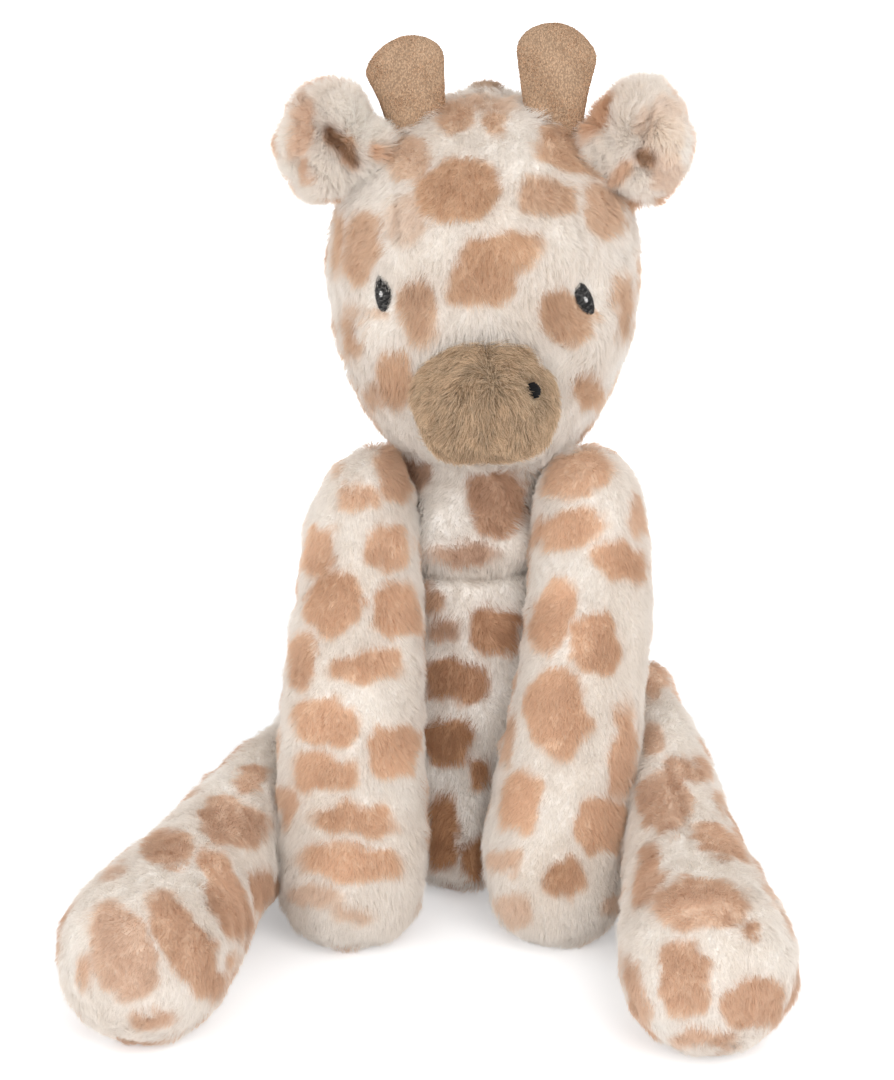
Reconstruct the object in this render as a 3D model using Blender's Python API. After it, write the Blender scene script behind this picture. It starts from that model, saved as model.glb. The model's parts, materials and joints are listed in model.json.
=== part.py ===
# Seated plush giraffe: fur skins over fibre fill, with pellet pouches in the seat, paws and feet.
# The toy faces -Y, its own left side is +X, and it sits on the floor plane Z = 0.
# The origin is the middle of the flat that the floor presses into the seat. Lengths are in metres.

import math

import bmesh
import bpy
from mathutils import Matrix, Vector

# Cloth and clearances
GAP = 0.0003
ROOT_EASE = 0.00005
FUR_CLOTH = 0.003
KNIT_CLOTH = 0.0012
FLAT_DEPTH = 0.0005
TIP_FULLNESS_SHARE = 2.3

# Torso: a pear that ends in a round neck dome, which the head sits on
NECK_HEIGHT = 0.138
NECK_FORWARD = 0.004
NECK_RADIUS = 0.0262
NECK_OPENING_RADIUS = 0.008
BELLY_HEIGHT = 0.045
BELLY_HALF_WIDTH = 0.050
BELLY_HALF_DEPTH = 0.043
SEAT_SQUARENESS_SHARE = 2.6
SEAT_POUCH_HEIGHT = 0.024
# Each row: share of the way from belly to neck, then what is left of the belly's extra half width and depth.
TORSO_SHARES = [
    (0.0, 1.0, 1.0),
    (0.22, 0.90, 0.93),
    (0.43, 0.55, 0.68),
    (0.59, 0.33, 0.50),
    (0.71, 0.15, 0.33),
    (0.83, 0.08, 0.38),
    (1.0, 0.0, 0.0),
]

# Head: an egg with the narrow end down
HEAD_RISE_ABOVE_NECK = 0.067
HEAD_FORWARD = 0.005
HEAD_SIDE_SHIFT = 0.0035
HEAD_HALF_WIDTH = 0.0485
HEAD_HALF_DEPTH = 0.046
HEAD_CROWN = 0.055
HEAD_JAW = 0.073
HEAD_FULLNESS_SHARE = 2.0

# Muzzle: a short-nosed lobe on the face
MUZZLE_HALF_WIDTH = 0.0208
MUZZLE_HALF_HEIGHT = 0.0180
MUZZLE_HALF_DEPTH = 0.0275
MUZZLE_BELOW_HEAD = 0.0308
MUZZLE_AHEAD_OF_HEAD = 0.043
MUZZLE_FULLNESS_SHARE = 2.1
NOSTRIL_HALF_WIDTH = 0.0026
NOSTRIL_HALF_HEIGHT = 0.0022
NOSTRIL_SIDE_SHARE = 0.68
NOSTRIL_UP_SHARE = 0.45

# Eyes: embroidered ovals with a small white stitch
EYE_HALF_WIDTH = 0.0033
EYE_HALF_HEIGHT = 0.0056
STITCH_HEIGHT = 0.0008
STITCH_SHOULDER_SHARE = 0.55
EYE_SIDE = 0.0322
EYE_RISE = 0.0012
EYE_TILT_DEG = 10.0
GLINT_RADIUS = 0.0009

# Horns: flat padded paddles of knit
LEFT_HORN_HEIGHT = 0.0305
RIGHT_HORN_HEIGHT = 0.0266
HORN_HALF_WIDTH = 0.0128
HORN_HALF_THICKNESS = 0.0048
LEFT_HORN_SIDE = 0.0218
RIGHT_HORN_SIDE = 0.0225
HORN_FORWARD = 0.004
LEFT_HORN_SPREAD_DEG = 3.0
RIGHT_HORN_SPREAD_DEG = 12.0
HORN_LEAN_BACK_DEG = 6.0
HORN_WIDTH_SHARES = [(0.0, 0.72), (0.35, 0.84), (0.75, 1.0), (1.0, 0.96)]
HORN_TOP_ROUND = 0.010
HORN_FULLNESS_SHARE = 2.4
HORN_EDGE_SHARE = 0.35

# Ears: folded discs, pinched where they are sewn on
EAR_LENGTH = 0.0255
EAR_HALF_WIDTH = 0.0180
EAR_HALF_THICKNESS = 0.0050
EAR_TIP_ROUND = 0.016
EAR_DISH = 0.0045
EAR_FLOP_DEG = 15.0
EAR_ROOT_SHARES = (0.66, -0.16, 0.74)
EAR_REACH_SHARES = (0.95, 0.08, 0.14)
EAR_SEAT_DEPTH = 0.002
EAR_ROOT_SHARE = 0.384
# Each row: share of the length, then shares of the half width and half thickness.
EAR_SHARES = [(0.18, 0.66, 1.0), (0.36, 0.91, 1.0), (0.56, 1.0, 0.95), (1.0, 0.98, 0.8)]

# Mane: a low crest from between the horns down the back
MANE_HALF_WIDTH = 0.0075
MANE_HEIGHT = 0.0040
MANE_END_SHARE = 0.6
HEAD_MANE_START_DEG = 4.0
HEAD_MANE_END_DEG = 118.0
BACK_MANE_TOP_SHARE = 0.90
BACK_MANE_BOTTOM_SHARE = 0.36

# Arms
ARM_LENGTH = 0.1385
ARM_HALF_WIDTH = 0.0218
ARM_HALF_DEPTH = 0.0190
ARM_ROOT_RADIUS = 0.0175
ARM_TIP_ROUND = 0.022
ARM_SEAT_DEPTH = 0.0035
SHOULDER_DROP = 0.011
SHOULDER_AZIMUTH_DEG = 52.0
RIGHT_ARM_INWARD_DEG = 1.2
LEFT_ARM_INWARD_DEG = 7.2
# Each row: share of the length, then shares of the half width and half depth.
ARM_SHARES = [(0.22, 0.86, 0.96), (0.45, 0.95, 0.99), (0.70, 0.98, 1.0), (1.0, 0.97, 1.0)]
PAW_POUCH_SHARE = 0.80

# Legs: a haunch at the hip, slimmer at the ankle, then a round foot
LEG_LENGTH = 0.158
FOOT_HALF_WIDTH = 0.0262
FOOT_HALF_HEIGHT = 0.0258
HIP_RADIUS = 0.0155
LEFT_HIP_HALF_HEIGHT = 0.036
RIGHT_HIP_HALF_HEIGHT = 0.0268
HIP_CLEARANCE = 0.003
LEG_TIP_ROUND = 0.030
HIP_SEAT_DEPTH = 0.0043
LEG_BOW = 0.0025
HIP_AZIMUTH_DEG = 76.0
RIGHT_LEG_SPLAY_DEG = 18.8
LEFT_LEG_SPLAY_DEG = 6.4
# Each row: share of the length, shares of the foot's half width and height, then what is left of the haunch.
LEG_SHARES = [
    (0.25, 0.64, 0.88, 0.42),
    (0.42, 0.69, 0.89, 0.18),
    (0.58, 0.79, 0.91, 0.05),
    (0.72, 0.93, 0.97, 0.0),
    (0.83, 1.0, 1.0, 0.0),
    (1.0, 1.0, 1.0, 0.0),
]
LEG_PINCH_SHARE = 0.05
LEG_BOW_POWER_SHARE = 1.5
FOOT_LEVEL_SHARE = 0.75
FOOT_POUCH_SHARE = 0.80
OPENING_SHARE = 0.32

# Tail
TAIL_LENGTH = 0.058
TAIL_RADIUS = 0.0042
TAIL_ROOT_RADIUS = 0.0050
TAIL_HEIGHT = 0.020
TAIL_TIP_ROUND = 0.004
TAIL_SEAT_DEPTH = 0.0015
TUFT_LENGTH = 0.024
TUFT_RADIUS = 0.0080
TUFT_TIP_ROUND = 0.012
TUFT_SHARES = [(0.3, 0.92), (0.6, 1.0), (1.0, 0.9)]
TUFT_ROOT_ROUND = 0.004

# Facets: counts round each form, fine outside and coarse inside
ROUND_FINE = 20
ROUND_COARSE = 12
ROUND_HEAD = 26
ROUND_SMALL = 10
ROUND_BALL = 24
HEAD_MANE_STEPS = 14
BACK_MANE_STEPS = 8
CREST_STEPS = 4
HALVINGS = 48

# Colours, linear, and roughness
CREAM_FUR = (0.84, 0.76, 0.66)
MUZZLE_FUR = (0.34, 0.23, 0.135)
MANE_FUR = (0.28, 0.19, 0.13)
HORN_KNIT = (0.45, 0.27, 0.17)
FIBRE_FILL = (0.92, 0.92, 0.90)
POUCH_CLOTH = (0.78, 0.76, 0.72)
DARK_THREAD = (0.045, 0.042, 0.045)
WHITE_THREAD = (0.88, 0.88, 0.86)
FUR_ROUGHNESS = 0.95
CLOTH_ROUGHNESS = 0.85
THREAD_ROUGHNESS = 0.6


def clear_scene():
    for thing in list(bpy.data.objects):
        bpy.data.objects.remove(thing)


def make_material(name, colour, roughness):
    material = bpy.data.materials.new(name)
    material.use_nodes = True
    shader = material.node_tree.nodes["Principled BSDF"]
    shader.inputs["Base Color"].default_value = (*colour, 1.0)
    shader.inputs["Roughness"].default_value = roughness
    shader.inputs["Metallic"].default_value = 0.0
    return material


def curve_value(table, x, column=1):
    """Read a smooth curve through the table's rows, whose first value rises."""
    last = len(table) - 1
    x = min(max(x, table[0][0]), table[last][0])
    i = 0
    while i < last - 1 and x > table[i + 1][0]:
        i += 1

    def slope(k):
        before = max(k - 1, 0)
        after = min(k + 1, last)
        return (table[after][column] - table[before][column]) / (table[after][0] - table[before][0])

    span = table[i + 1][0] - table[i][0]
    u = (x - table[i][0]) / span
    start = (2 * u**3 - 3 * u**2 + 1) * table[i][column] + (u**3 - 2 * u**2 + u) * span * slope(i)
    end = (3 * u**2 - 2 * u**3) * table[i + 1][column] + (u**3 - u**2) * span * slope(i + 1)
    return start + end


def round_off(share, power):
    """How wide a rounded end still is, at a share of the way to its pole."""
    return max(1 - share**power, 0.0) ** (1 / power)


def inset_stations(stations, inset):
    """Move a profile inwards. A station is (place along the spine, half width, half depth)."""
    if inset == 0:
        return stations
    moved = []
    last = len(stations) - 1
    for i, (s, a, b) in enumerate(stations):
        before = stations[max(i - 1, 0)]
        after = stations[min(i + 1, last)]
        run = after[0] - before[0]
        rise = after[1] - before[1]
        size = math.hypot(run, rise)
        along, out = -rise / size, run / size
        if a == 0:
            along, out = math.copysign(1.0, along), 0.0
        if out < 0:
            along, out = -along, -out
        moved.append((s - inset * along, max(a - inset * out, 0.0), max(b - inset * out, 0.0)))
    return moved


def add_ring(bm, centre, side, front, a, b, count, dish=0.0):
    """Add an ellipse of vertices, or one vertex where the form closes."""
    if a <= 0 or b <= 0:
        return [bm.verts.new(centre)]
    ring = []
    for k in range(count):
        angle = math.tau * k / count
        across, ahead = math.cos(angle), math.sin(angle)
        ring.append(bm.verts.new(centre + side * (a * across) + front * (b * ahead + dish * across**2)))
    return ring


def stitch(bm, first, second):
    """Join two rings, which may have unlike counts, with triangles."""
    n, m = len(first), len(second)
    i = j = 0
    while i < n or j < m:
        take_first = j == m or (i < n and (i + 1) * m <= (j + 1) * n)
        if n == 1:
            take_first = False
        if m == 1:
            take_first = True
        if take_first:
            bm.faces.new((first[i % n], first[(i + 1) % n], second[j % m]))
            i += 1
        else:
            bm.faces.new((first[i % n], second[(j + 1) % m], second[j % m]))
            j += 1
        if (n == 1 and j == m) or (m == 1 and i == n):
            break


def stitch_all(bm, rings):
    for first, second in zip(rings, rings[1:]):
        stitch(bm, first, second)


def cut_off(bm, place, way):
    """Keep what lies on the side that the way points to, and close the cut."""
    whole = bm.verts[:] + bm.edges[:] + bm.faces[:]
    cut = bmesh.ops.bisect_plane(bm, geom=whole, plane_co=place, plane_no=way, clear_inner=True)
    rim = [e for e in cut["geom_cut"] if isinstance(e, bmesh.types.BMEdge)]
    if rim:
        bmesh.ops.contextual_create(bm, geom=rim)


def cut_flat(bm):
    cut_off(bm, Vector((0, 0, 0)), Vector((0, 0, 1)))


def finish_mesh(bm, name, material, parent=None, hollow=()):
    """Turn the mesh into a named object. Its origin is its parent's, or the world's."""
    bmesh.ops.recalc_face_normals(bm, faces=bm.faces)
    if hollow:
        bmesh.ops.reverse_faces(bm, faces=list(hollow))
    bmesh.ops.triangulate(bm, faces=bm.faces)
    if parent is not None:
        bmesh.ops.translate(bm, verts=bm.verts, vec=-parent.location)
    mesh = bpy.data.meshes.new(name)
    bm.to_mesh(mesh)
    bm.free()
    mesh.shade_smooth()
    thing = bpy.data.objects.new(name, mesh)
    bpy.context.scene.collection.objects.link(thing)
    thing.data.materials.append(material)
    thing.parent = parent
    return thing


def make_joint(name, place):
    """An empty on a joint's axis, which the moving pieces hang from."""
    empty = bpy.data.objects.new(name, None)
    bpy.context.scene.collection.objects.link(empty)
    empty.location = place
    empty.empty_display_size = FUR_CLOTH
    return empty


def make_ball_cutter(name, centre, radius, parent=None, half_height=None, count=ROUND_BALL):
    """A hidden ball whose facets touch the round that is asked for from outside."""
    grow = math.cos(math.pi / count) ** -2
    tall = half_height if half_height is not None else radius
    bm = bmesh.new()
    bmesh.ops.create_uvsphere(bm, u_segments=count, v_segments=count // 2, radius=grow)
    bmesh.ops.scale(bm, verts=bm.verts, vec=(radius, radius, tall))
    bmesh.ops.translate(bm, verts=bm.verts, vec=centre)
    cutter = finish_mesh(bm, name, MATERIALS["pouch"], parent)
    cutter.hide_render = True
    cutter.display_type = "WIRE"
    return cutter


def cut_with(thing, *cutters):
    for cutter in cutters:
        cut = thing.modifiers.new("cut_" + cutter.name, "BOOLEAN")
        cut.operation = "DIFFERENCE"
        cut.solver = "EXACT"
        cut.object = cutter


# The torso's outline

def torso_half_sizes(z):
    """Half width and half depth of the torso's outside at a height."""
    if z >= NECK_HEIGHT:
        reach = math.sqrt(max(NECK_RADIUS**2 - (z - NECK_HEIGHT) ** 2, 0.0))
        return reach, reach
    if z >= BELLY_HEIGHT:
        up = (z - BELLY_HEIGHT) / (NECK_HEIGHT - BELLY_HEIGHT)
        wide = NECK_RADIUS + (BELLY_HALF_WIDTH - NECK_RADIUS) * curve_value(TORSO_SHARES, up, 1)
        deep = NECK_RADIUS + (BELLY_HALF_DEPTH - NECK_RADIUS) * curve_value(TORSO_SHARES, up, 2)
        return wide, deep
    down = min((BELLY_HEIGHT - z) / (BELLY_HEIGHT + FLAT_DEPTH), 1.0)
    left = round_off(down, SEAT_SQUARENESS_SHARE)
    return BELLY_HALF_WIDTH * left, BELLY_HALF_DEPTH * left


def torso_centre(z):
    """The torso leans forward a little towards the neck."""
    up = min(max(z / NECK_HEIGHT, 0.0), 1.0)
    return Vector((0, -NECK_FORWARD * up * up, z))


def torso_stations(seat_steps, back_steps, neck_steps):
    """Stations from the seat's pole up to the rim of the neck opening."""
    rows = []
    for k in range(seat_steps):
        angle = math.radians(90) * k / seat_steps
        down = math.cos(angle) ** (2 / SEAT_SQUARENESS_SHARE)
        z = BELLY_HEIGHT - (BELLY_HEIGHT + FLAT_DEPTH) * down
        rows.append((z, *torso_half_sizes(z)) if k else (-FLAT_DEPTH, 0.0, 0.0))
    for k in range(back_steps):
        z = BELLY_HEIGHT + (NECK_HEIGHT - BELLY_HEIGHT) * k / back_steps
        rows.append((z, *torso_half_sizes(z)))
    top = math.acos(NECK_OPENING_RADIUS / NECK_RADIUS)
    for k in range(neck_steps + 1):
        z = NECK_HEIGHT + NECK_RADIUS * math.sin(top * k / neck_steps)
        rows.append((z, *torso_half_sizes(z)))
    return rows


def torso_rings(bm, stations, count):
    side, front = Vector((1, 0, 0)), Vector((0, -1, 0))
    return [add_ring(bm, torso_centre(s), side, front, a, b, count) for s, a, b in stations]


def torso_surface(height, azimuth, side_sign):
    """A point on the torso and the way out there. The azimuth is from the front towards a side."""
    wide, deep = torso_half_sizes(height)
    across, ahead = math.sin(azimuth), math.cos(azimuth)
    reach = 1 / math.hypot(across / wide, ahead / deep)
    point = torso_centre(height) + Vector((side_sign * across * reach, -ahead * reach, 0))
    out = Vector((side_sign * across / wide**2, -ahead / deep**2, 0)).normalized()
    return point, out


# The head's and muzzle's outlines: each is a distance from its centre in every direction

HEAD_CENTRE = Vector((HEAD_SIDE_SHIFT, -HEAD_FORWARD, NECK_HEIGHT + HEAD_RISE_ABOVE_NECK))
MUZZLE_CENTRE = HEAD_CENTRE + Vector((0, -MUZZLE_AHEAD_OF_HEAD, -MUZZLE_BELOW_HEAD))
NECK_PIVOT = Vector((0, -NECK_FORWARD, NECK_HEIGHT))


def rounded_reach(way, half_sizes, power):
    """Distance from the centre to the surface of an egg or a squarish egg."""
    total = sum(abs(part / half) ** power for part, half in zip(way, half_sizes))
    return total ** (-1 / power)


def head_reach(way):
    tall = HEAD_CROWN if way.z > 0 else HEAD_JAW
    return rounded_reach(way, (HEAD_HALF_WIDTH, HEAD_HALF_DEPTH, tall), HEAD_FULLNESS_SHARE)


def muzzle_reach(way):
    sizes = (MUZZLE_HALF_WIDTH, MUZZLE_HALF_DEPTH, MUZZLE_HALF_HEIGHT)
    return rounded_reach(way, sizes, MUZZLE_FULLNESS_SHARE)


def head_point(way, lift=0.0):
    way = way.normalized()
    return HEAD_CENTRE + way * (head_reach(way) + lift)


def muzzle_point(way, lift=0.0):
    way = way.normalized()
    return MUZZLE_CENTRE + way * (muzzle_reach(way) + lift)


def globe_rings(bm, point, lift, steps, count, pole):
    """Rings round a globe-like form, from one pole to the other."""
    turn = pole.to_track_quat("Z", "Y").to_matrix()
    rings = []
    for k in range(steps + 1):
        polar = math.pi * k / steps
        if k in (0, steps):
            rings.append([bm.verts.new(point(turn @ Vector((0, 0, math.cos(polar))), lift))])
            continue
        ring = []
        for n in range(count):
            angle = math.tau * n / count
            level = Vector((math.cos(angle), math.sin(angle), 0)) * math.sin(polar)
            way = level + Vector((0, 0, math.cos(polar)))
            ring.append(bm.verts.new(point(turn @ way, lift)))
        rings.append(ring)
    return rings


def make_globe(name, material, point, lift, steps, count, pole, parent):
    bm = bmesh.new()
    stitch_all(bm, globe_rings(bm, point, lift, steps, count, pole))
    return finish_mesh(bm, name, material, parent)


def make_globe_skin(name, material, point, cloth, steps, count, pole, parent):
    """A skin with its back end open: the outside, then the inside, joined at the opening's rim."""
    bm = bmesh.new()
    outside = globe_rings(bm, point, 0.0, steps, count, pole)
    inside = globe_rings(bm, point, -cloth, steps // 2, count // 2, pole)
    for spare in (outside.pop(), inside.pop()):
        bm.verts.remove(spare[0])
    stitch_all(bm, outside)
    stitch_all(bm, inside)
    stitch(bm, outside[-1], inside[-1])
    return finish_mesh(bm, name, material, parent)


def make_stitched_patch(name, material, point, centre, middle, across, up, half_sizes, lift, parent):
    """A low embroidered oval that follows the cloth below it."""
    half_width, half_height = half_sizes
    bm = bmesh.new()
    surface = point(middle) - centre
    shoulder = STITCH_SHOULDER_SHARE
    profile = ((0, 1), (shoulder, 1), (1, shoulder), (1, 0), (shoulder, 0), (0, 0))
    rings = []
    for share, raised in profile:
        height = STITCH_HEIGHT * raised
        ring = []
        for k in range(ROUND_SMALL if share else 1):
            angle = math.tau * k / ROUND_SMALL
            offset = across * (half_width * math.cos(angle)) + up * (half_height * math.sin(angle))
            ring.append(bm.verts.new(point(surface + offset * share, lift + height)))
        rings.append(ring)
    stitch_all(bm, rings)
    return finish_mesh(bm, name, material, parent)


# Limbs: a round root that seats in a matching hollow of the torso, a swelling tube and a blunt end

class Limb:
    """Half sizes come from rows of (place along the limb, half width, half depth) after a round root."""

    def __init__(self, root, length, root_radius, tip_round, rows, root_half_depth=None, pinch=0.0):
        self.root = root
        self.length = length
        self.root_radius = root_radius
        self.root_half_depth = root_half_depth or root_radius
        self.tip_round = tip_round
        self.pinch = pinch
        start = self.root_half_sizes(pinch)
        self.rows = [(pinch, *start)] + rows

    def aim(self, along, side):
        self.along = along.normalized()
        self.side = (side - self.along * side.dot(self.along)).normalized()
        self.front = self.along.cross(self.side)

    def root_half_sizes(self, s):
        reach = math.sqrt(max(self.root_radius**2 - s * s, 0.0))
        return reach, reach * self.root_half_depth / self.root_radius

    def half_sizes(self, s):
        if s <= self.pinch:
            return self.root_half_sizes(s)
        start = self.length - self.tip_round
        end = 1.0
        if s > start:
            end = round_off((s - start) / self.tip_round, TIP_FULLNESS_SHARE)
        return curve_value(self.rows, s, 1) * end, curve_value(self.rows, s, 2) * end

    def centre(self, s):
        return self.root + self.along * s

    def stations(self, root_steps, tube_steps, tip_steps):
        """Stations from the root's pole to the tip's pole."""
        rows = [(-self.root_radius, 0.0, 0.0)]
        stop = math.acos(self.pinch / self.root_radius)
        for k in range(1, root_steps + 1):
            s = self.root_radius * math.cos(math.pi + (stop - math.pi) * k / root_steps)
            rows.append((s, *self.root_half_sizes(s)))
        tip_start = self.length - self.tip_round
        for k in range(1, tube_steps + 1):
            s = self.pinch + (tip_start - self.pinch) * k / tube_steps
            rows.append((s, *self.half_sizes(s)))
        for k in range(1, tip_steps):
            s = tip_start + self.tip_round * math.sin(math.radians(90) * k / tip_steps)
            rows.append((s, *self.half_sizes(s)))
        return rows + [(self.length, 0.0, 0.0)]

    def rings(self, bm, stations, count, dish=0.0):
        made = []
        for s, a, b in stations:
            bend = dish * min(max(s / self.length, 0), 1)
            made.append(add_ring(bm, self.centre(s), self.side, self.front, a, b, count, bend))
        return made

    def lowest(self):
        lowest = self.root.z
        steps = ROUND_FINE * 4
        for k in range(steps + 1):
            s = self.length * k / steps
            a, b = self.half_sizes(s)
            lowest = min(lowest, self.centre(s).z - math.hypot(a * self.side.z, b * self.front.z))
        return lowest


class Leg(Limb):
    """A limb that lies along the floor: its rings stay upright while its centre line bows out and sinks."""

    def centre(self, s):
        if s <= self.pinch:
            return self.root + self.along * s
        u = min((s - self.pinch) / (self.length - self.pinch), 1.0)
        sunk = min(u / FOOT_LEVEL_SHARE, 1.0)
        sunk = sunk * sunk * (3 - 2 * sunk)
        drop = (FOOT_HALF_HEIGHT - FLAT_DEPTH - self.root.z) * sunk
        bow = LEG_BOW * (4 * u * (1 - u)) ** LEG_BOW_POWER_SHARE
        return self.root + self.along * s + self.side * bow + Vector((0, 0, drop))


def make_hollows(kind, ease):
    """Balls where the limbs and the tail seat in the torso, larger than their roots by the ease."""
    hollows = [make_ball_cutter("tail_" + kind, tail_place(), TAIL_ROOT_RADIUS + ease)]
    for label, sign in SIDES:
        root, _ = shoulder_place(sign)
        hollows.append(make_ball_cutter(label + "_shoulder_" + kind, root, ARM_ROOT_RADIUS + ease))
        tall = HIP_HALF_HEIGHTS[label]
        root, _ = hip_place(sign, tall)
        hollows.append(make_ball_cutter(label + "_hip_" + kind, root, HIP_RADIUS + ease, None, tall + ease))
    return hollows


def make_torso_press():
    """What the limbs are cut by where they press against the torso. Their roots stay whole."""
    bm = bmesh.new()
    rows = inset_stations(torso_stations(6, 9, 4), -GAP)
    stitch_all(bm, torso_rings(bm, rows + [(rows[-1][0], 0.0, 0.0)], ROUND_HEAD))
    press = finish_mesh(bm, "torso_press", MATERIALS["pouch"])
    press.hide_render = True
    press.display_type = "WIRE"
    cut_with(press, *make_hollows("root_space", ROOT_EASE))
    return press


def make_limb_skin(name, material, limb, way_to_torso, parent, press):
    """A skin with a small opening at the torso. The inside's faces are marked while the floor cuts them."""
    bm = bmesh.new()
    stitch_all(bm, limb.rings(bm, limb.stations(4, 6, 5), ROUND_FINE))
    outside = set(bm.faces)
    stitch_all(bm, limb.rings(bm, inset_stations(limb.stations(3, 4, 3), FUR_CLOTH), ROUND_COARSE))
    for face in bm.faces:
        face.material_index = 0 if face in outside else 1
    cut_flat(bm)
    inside = [face for face in bm.faces if face.material_index == 1]
    for face in inside:
        face.material_index = 0
    skin = finish_mesh(bm, name, material, parent, inside)
    place = limb.root + way_to_torso * limb.root_radius
    radius = limb.root_radius * OPENING_SHARE
    opening = make_ball_cutter(name + "_opening", place, radius, parent, None, ROUND_SMALL)
    cut_with(skin, opening, press)
    return skin


def make_limb_filling(name, material, limb, parent, press, split, keep_end):
    """What is inside the limb before or after a flat split."""
    bm = bmesh.new()
    stitch_all(bm, limb.rings(bm, inset_stations(limb.stations(3, 4, 3), FUR_CLOTH + GAP), ROUND_COARSE))
    way = limb.along if keep_end else -limb.along
    cut_off(bm, limb.root + limb.along * split, way)
    filling = finish_mesh(bm, name, material, parent)
    cut_with(filling, press)
    return filling


MATERIALS = {}


def make_materials():
    MATERIALS["fur"] = make_material("cream_fur", CREAM_FUR, FUR_ROUGHNESS)
    MATERIALS["muzzle"] = make_material("muzzle_fur", MUZZLE_FUR, FUR_ROUGHNESS)
    MATERIALS["mane"] = make_material("mane_fur", MANE_FUR, FUR_ROUGHNESS)
    MATERIALS["knit"] = make_material("horn_knit", HORN_KNIT, CLOTH_ROUGHNESS)
    MATERIALS["fill"] = make_material("fibre_fill", FIBRE_FILL, FUR_ROUGHNESS)
    MATERIALS["pouch"] = make_material("pouch_cloth", POUCH_CLOTH, CLOTH_ROUGHNESS)
    MATERIALS["thread"] = make_material("dark_thread", DARK_THREAD, THREAD_ROUGHNESS)
    MATERIALS["glint"] = make_material("white_thread", WHITE_THREAD, THREAD_ROUGHNESS)


def shoulder_place(sign):
    point, out = torso_surface(NECK_HEIGHT - SHOULDER_DROP, math.radians(SHOULDER_AZIMUTH_DEG), sign)
    return point + out * (ARM_ROOT_RADIUS - ARM_SEAT_DEPTH), out


def hip_place(sign, half_height):
    point, out = torso_surface(half_height + HIP_CLEARANCE, math.radians(HIP_AZIMUTH_DEG), sign)
    return point + out * (HIP_RADIUS - HIP_SEAT_DEPTH), out


def tail_place():
    back, out = torso_surface(TAIL_HEIGHT, math.pi, 1)
    return back + out * (TAIL_ROOT_RADIUS - TAIL_SEAT_DEPTH)


def make_torso(cutters):
    bm = bmesh.new()
    outside = torso_rings(bm, torso_stations(6, 9, 4), ROUND_HEAD)
    inside = torso_rings(bm, inset_stations(torso_stations(4, 7, 3), FUR_CLOTH), ROUND_COARSE)
    stitch_all(bm, outside)
    stitch_all(bm, inside)
    stitch(bm, outside[-1], inside[-1])
    cut_flat(bm)
    pieces = [finish_mesh(bm, "torso_skin", MATERIALS["fur"])]

    rows = inset_stations(torso_stations(4, 7, 3), FUR_CLOTH + GAP)
    rows.append((rows[-1][0], 0.0, 0.0))
    split = Vector((0, 0, SEAT_POUCH_HEIGHT))
    up = Vector((0, 0, 1))
    for name, material, place, way in (
        ("seat_pellet_pouch", "pouch", split, -up),
        ("torso_stuffing", "fill", split + up * GAP, up),
    ):
        bm = bmesh.new()
        stitch_all(bm, torso_rings(bm, rows, ROUND_COARSE))
        cut_off(bm, place, way)
        pieces.append(finish_mesh(bm, name, MATERIALS[material]))
    for piece in pieces:
        cut_with(piece, *cutters)


def make_arm(label, sign, inward_deg, press):
    root, out = shoulder_place(sign)
    shoulder = make_joint(label + "_shoulder_axis", root)
    rows = [(t * ARM_LENGTH, w * ARM_HALF_WIDTH, d * ARM_HALF_DEPTH) for t, w, d in ARM_SHARES]
    limb = Limb(root, ARM_LENGTH, ARM_ROOT_RADIUS, ARM_TIP_ROUND, rows)
    inward = math.radians(inward_deg)
    low, high = 0.0, math.radians(90)
    for _ in range(HALVINGS):
        lean = (low + high) / 2
        down = Vector((-sign * math.sin(inward), 0, -math.cos(inward)))
        limb.aim(down * math.cos(lean) + Vector((0, -math.sin(lean), 0)), Vector((1, 0, 0)))
        if limb.lowest() < -FLAT_DEPTH:
            low = lean
        else:
            high = lean
    make_limb_skin(label + "_arm_skin", MATERIALS["fur"], limb, -out, shoulder, press)
    split = ARM_LENGTH * PAW_POUCH_SHARE
    make_limb_filling(label + "_arm_stuffing", MATERIALS["fill"], limb, shoulder, press, split - GAP, False)
    make_limb_filling(label + "_paw_pellet_pouch", MATERIALS["pouch"], limb, shoulder, press, split, True)


def make_leg(label, sign, splay_deg, press):
    half_height = HIP_HALF_HEIGHTS[label]
    root, out = hip_place(sign, half_height)
    hip = make_joint(label + "_hip_axis", root)
    haunch = half_height - FOOT_HALF_HEIGHT
    rows = []
    for t, w, h, left in LEG_SHARES:
        rows.append((t * LEG_LENGTH, w * FOOT_HALF_WIDTH, h * FOOT_HALF_HEIGHT + left * haunch))
    pinch = LEG_LENGTH * LEG_PINCH_SHARE
    limb = Leg(root, LEG_LENGTH, HIP_RADIUS, LEG_TIP_ROUND, rows, half_height, pinch)
    splay = math.radians(splay_deg)
    side = Vector((math.cos(splay), sign * math.sin(splay), 0)) * sign
    limb.aim(Vector((sign * math.sin(splay), -math.cos(splay), 0)), side)
    make_limb_skin(label + "_leg_skin", MATERIALS["fur"], limb, -out, hip, press)
    split = LEG_LENGTH * FOOT_POUCH_SHARE
    make_limb_filling(label + "_leg_stuffing", MATERIALS["fill"], limb, hip, press, split - GAP, False)
    make_limb_filling(label + "_foot_pellet_pouch", MATERIALS["pouch"], limb, hip, press, split, True)


def make_head():
    neck = make_joint("neck_axis", NECK_PIVOT)
    up = Vector((0, 0, 1))
    cup = make_ball_cutter("neck_cup", NECK_PIVOT, NECK_RADIUS + GAP, neck)
    skin = make_globe_skin("head_skin", MATERIALS["fur"], head_point, FUR_CLOTH, 18, ROUND_HEAD, up, neck)
    cut_with(skin, cup)
    inset = -FUR_CLOTH - GAP
    stuffing = make_globe("head_stuffing", MATERIALS["fill"], head_point, inset, 9, ROUND_HEAD // 2, up, neck)
    cut_with(stuffing, cup)
    return neck


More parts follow.
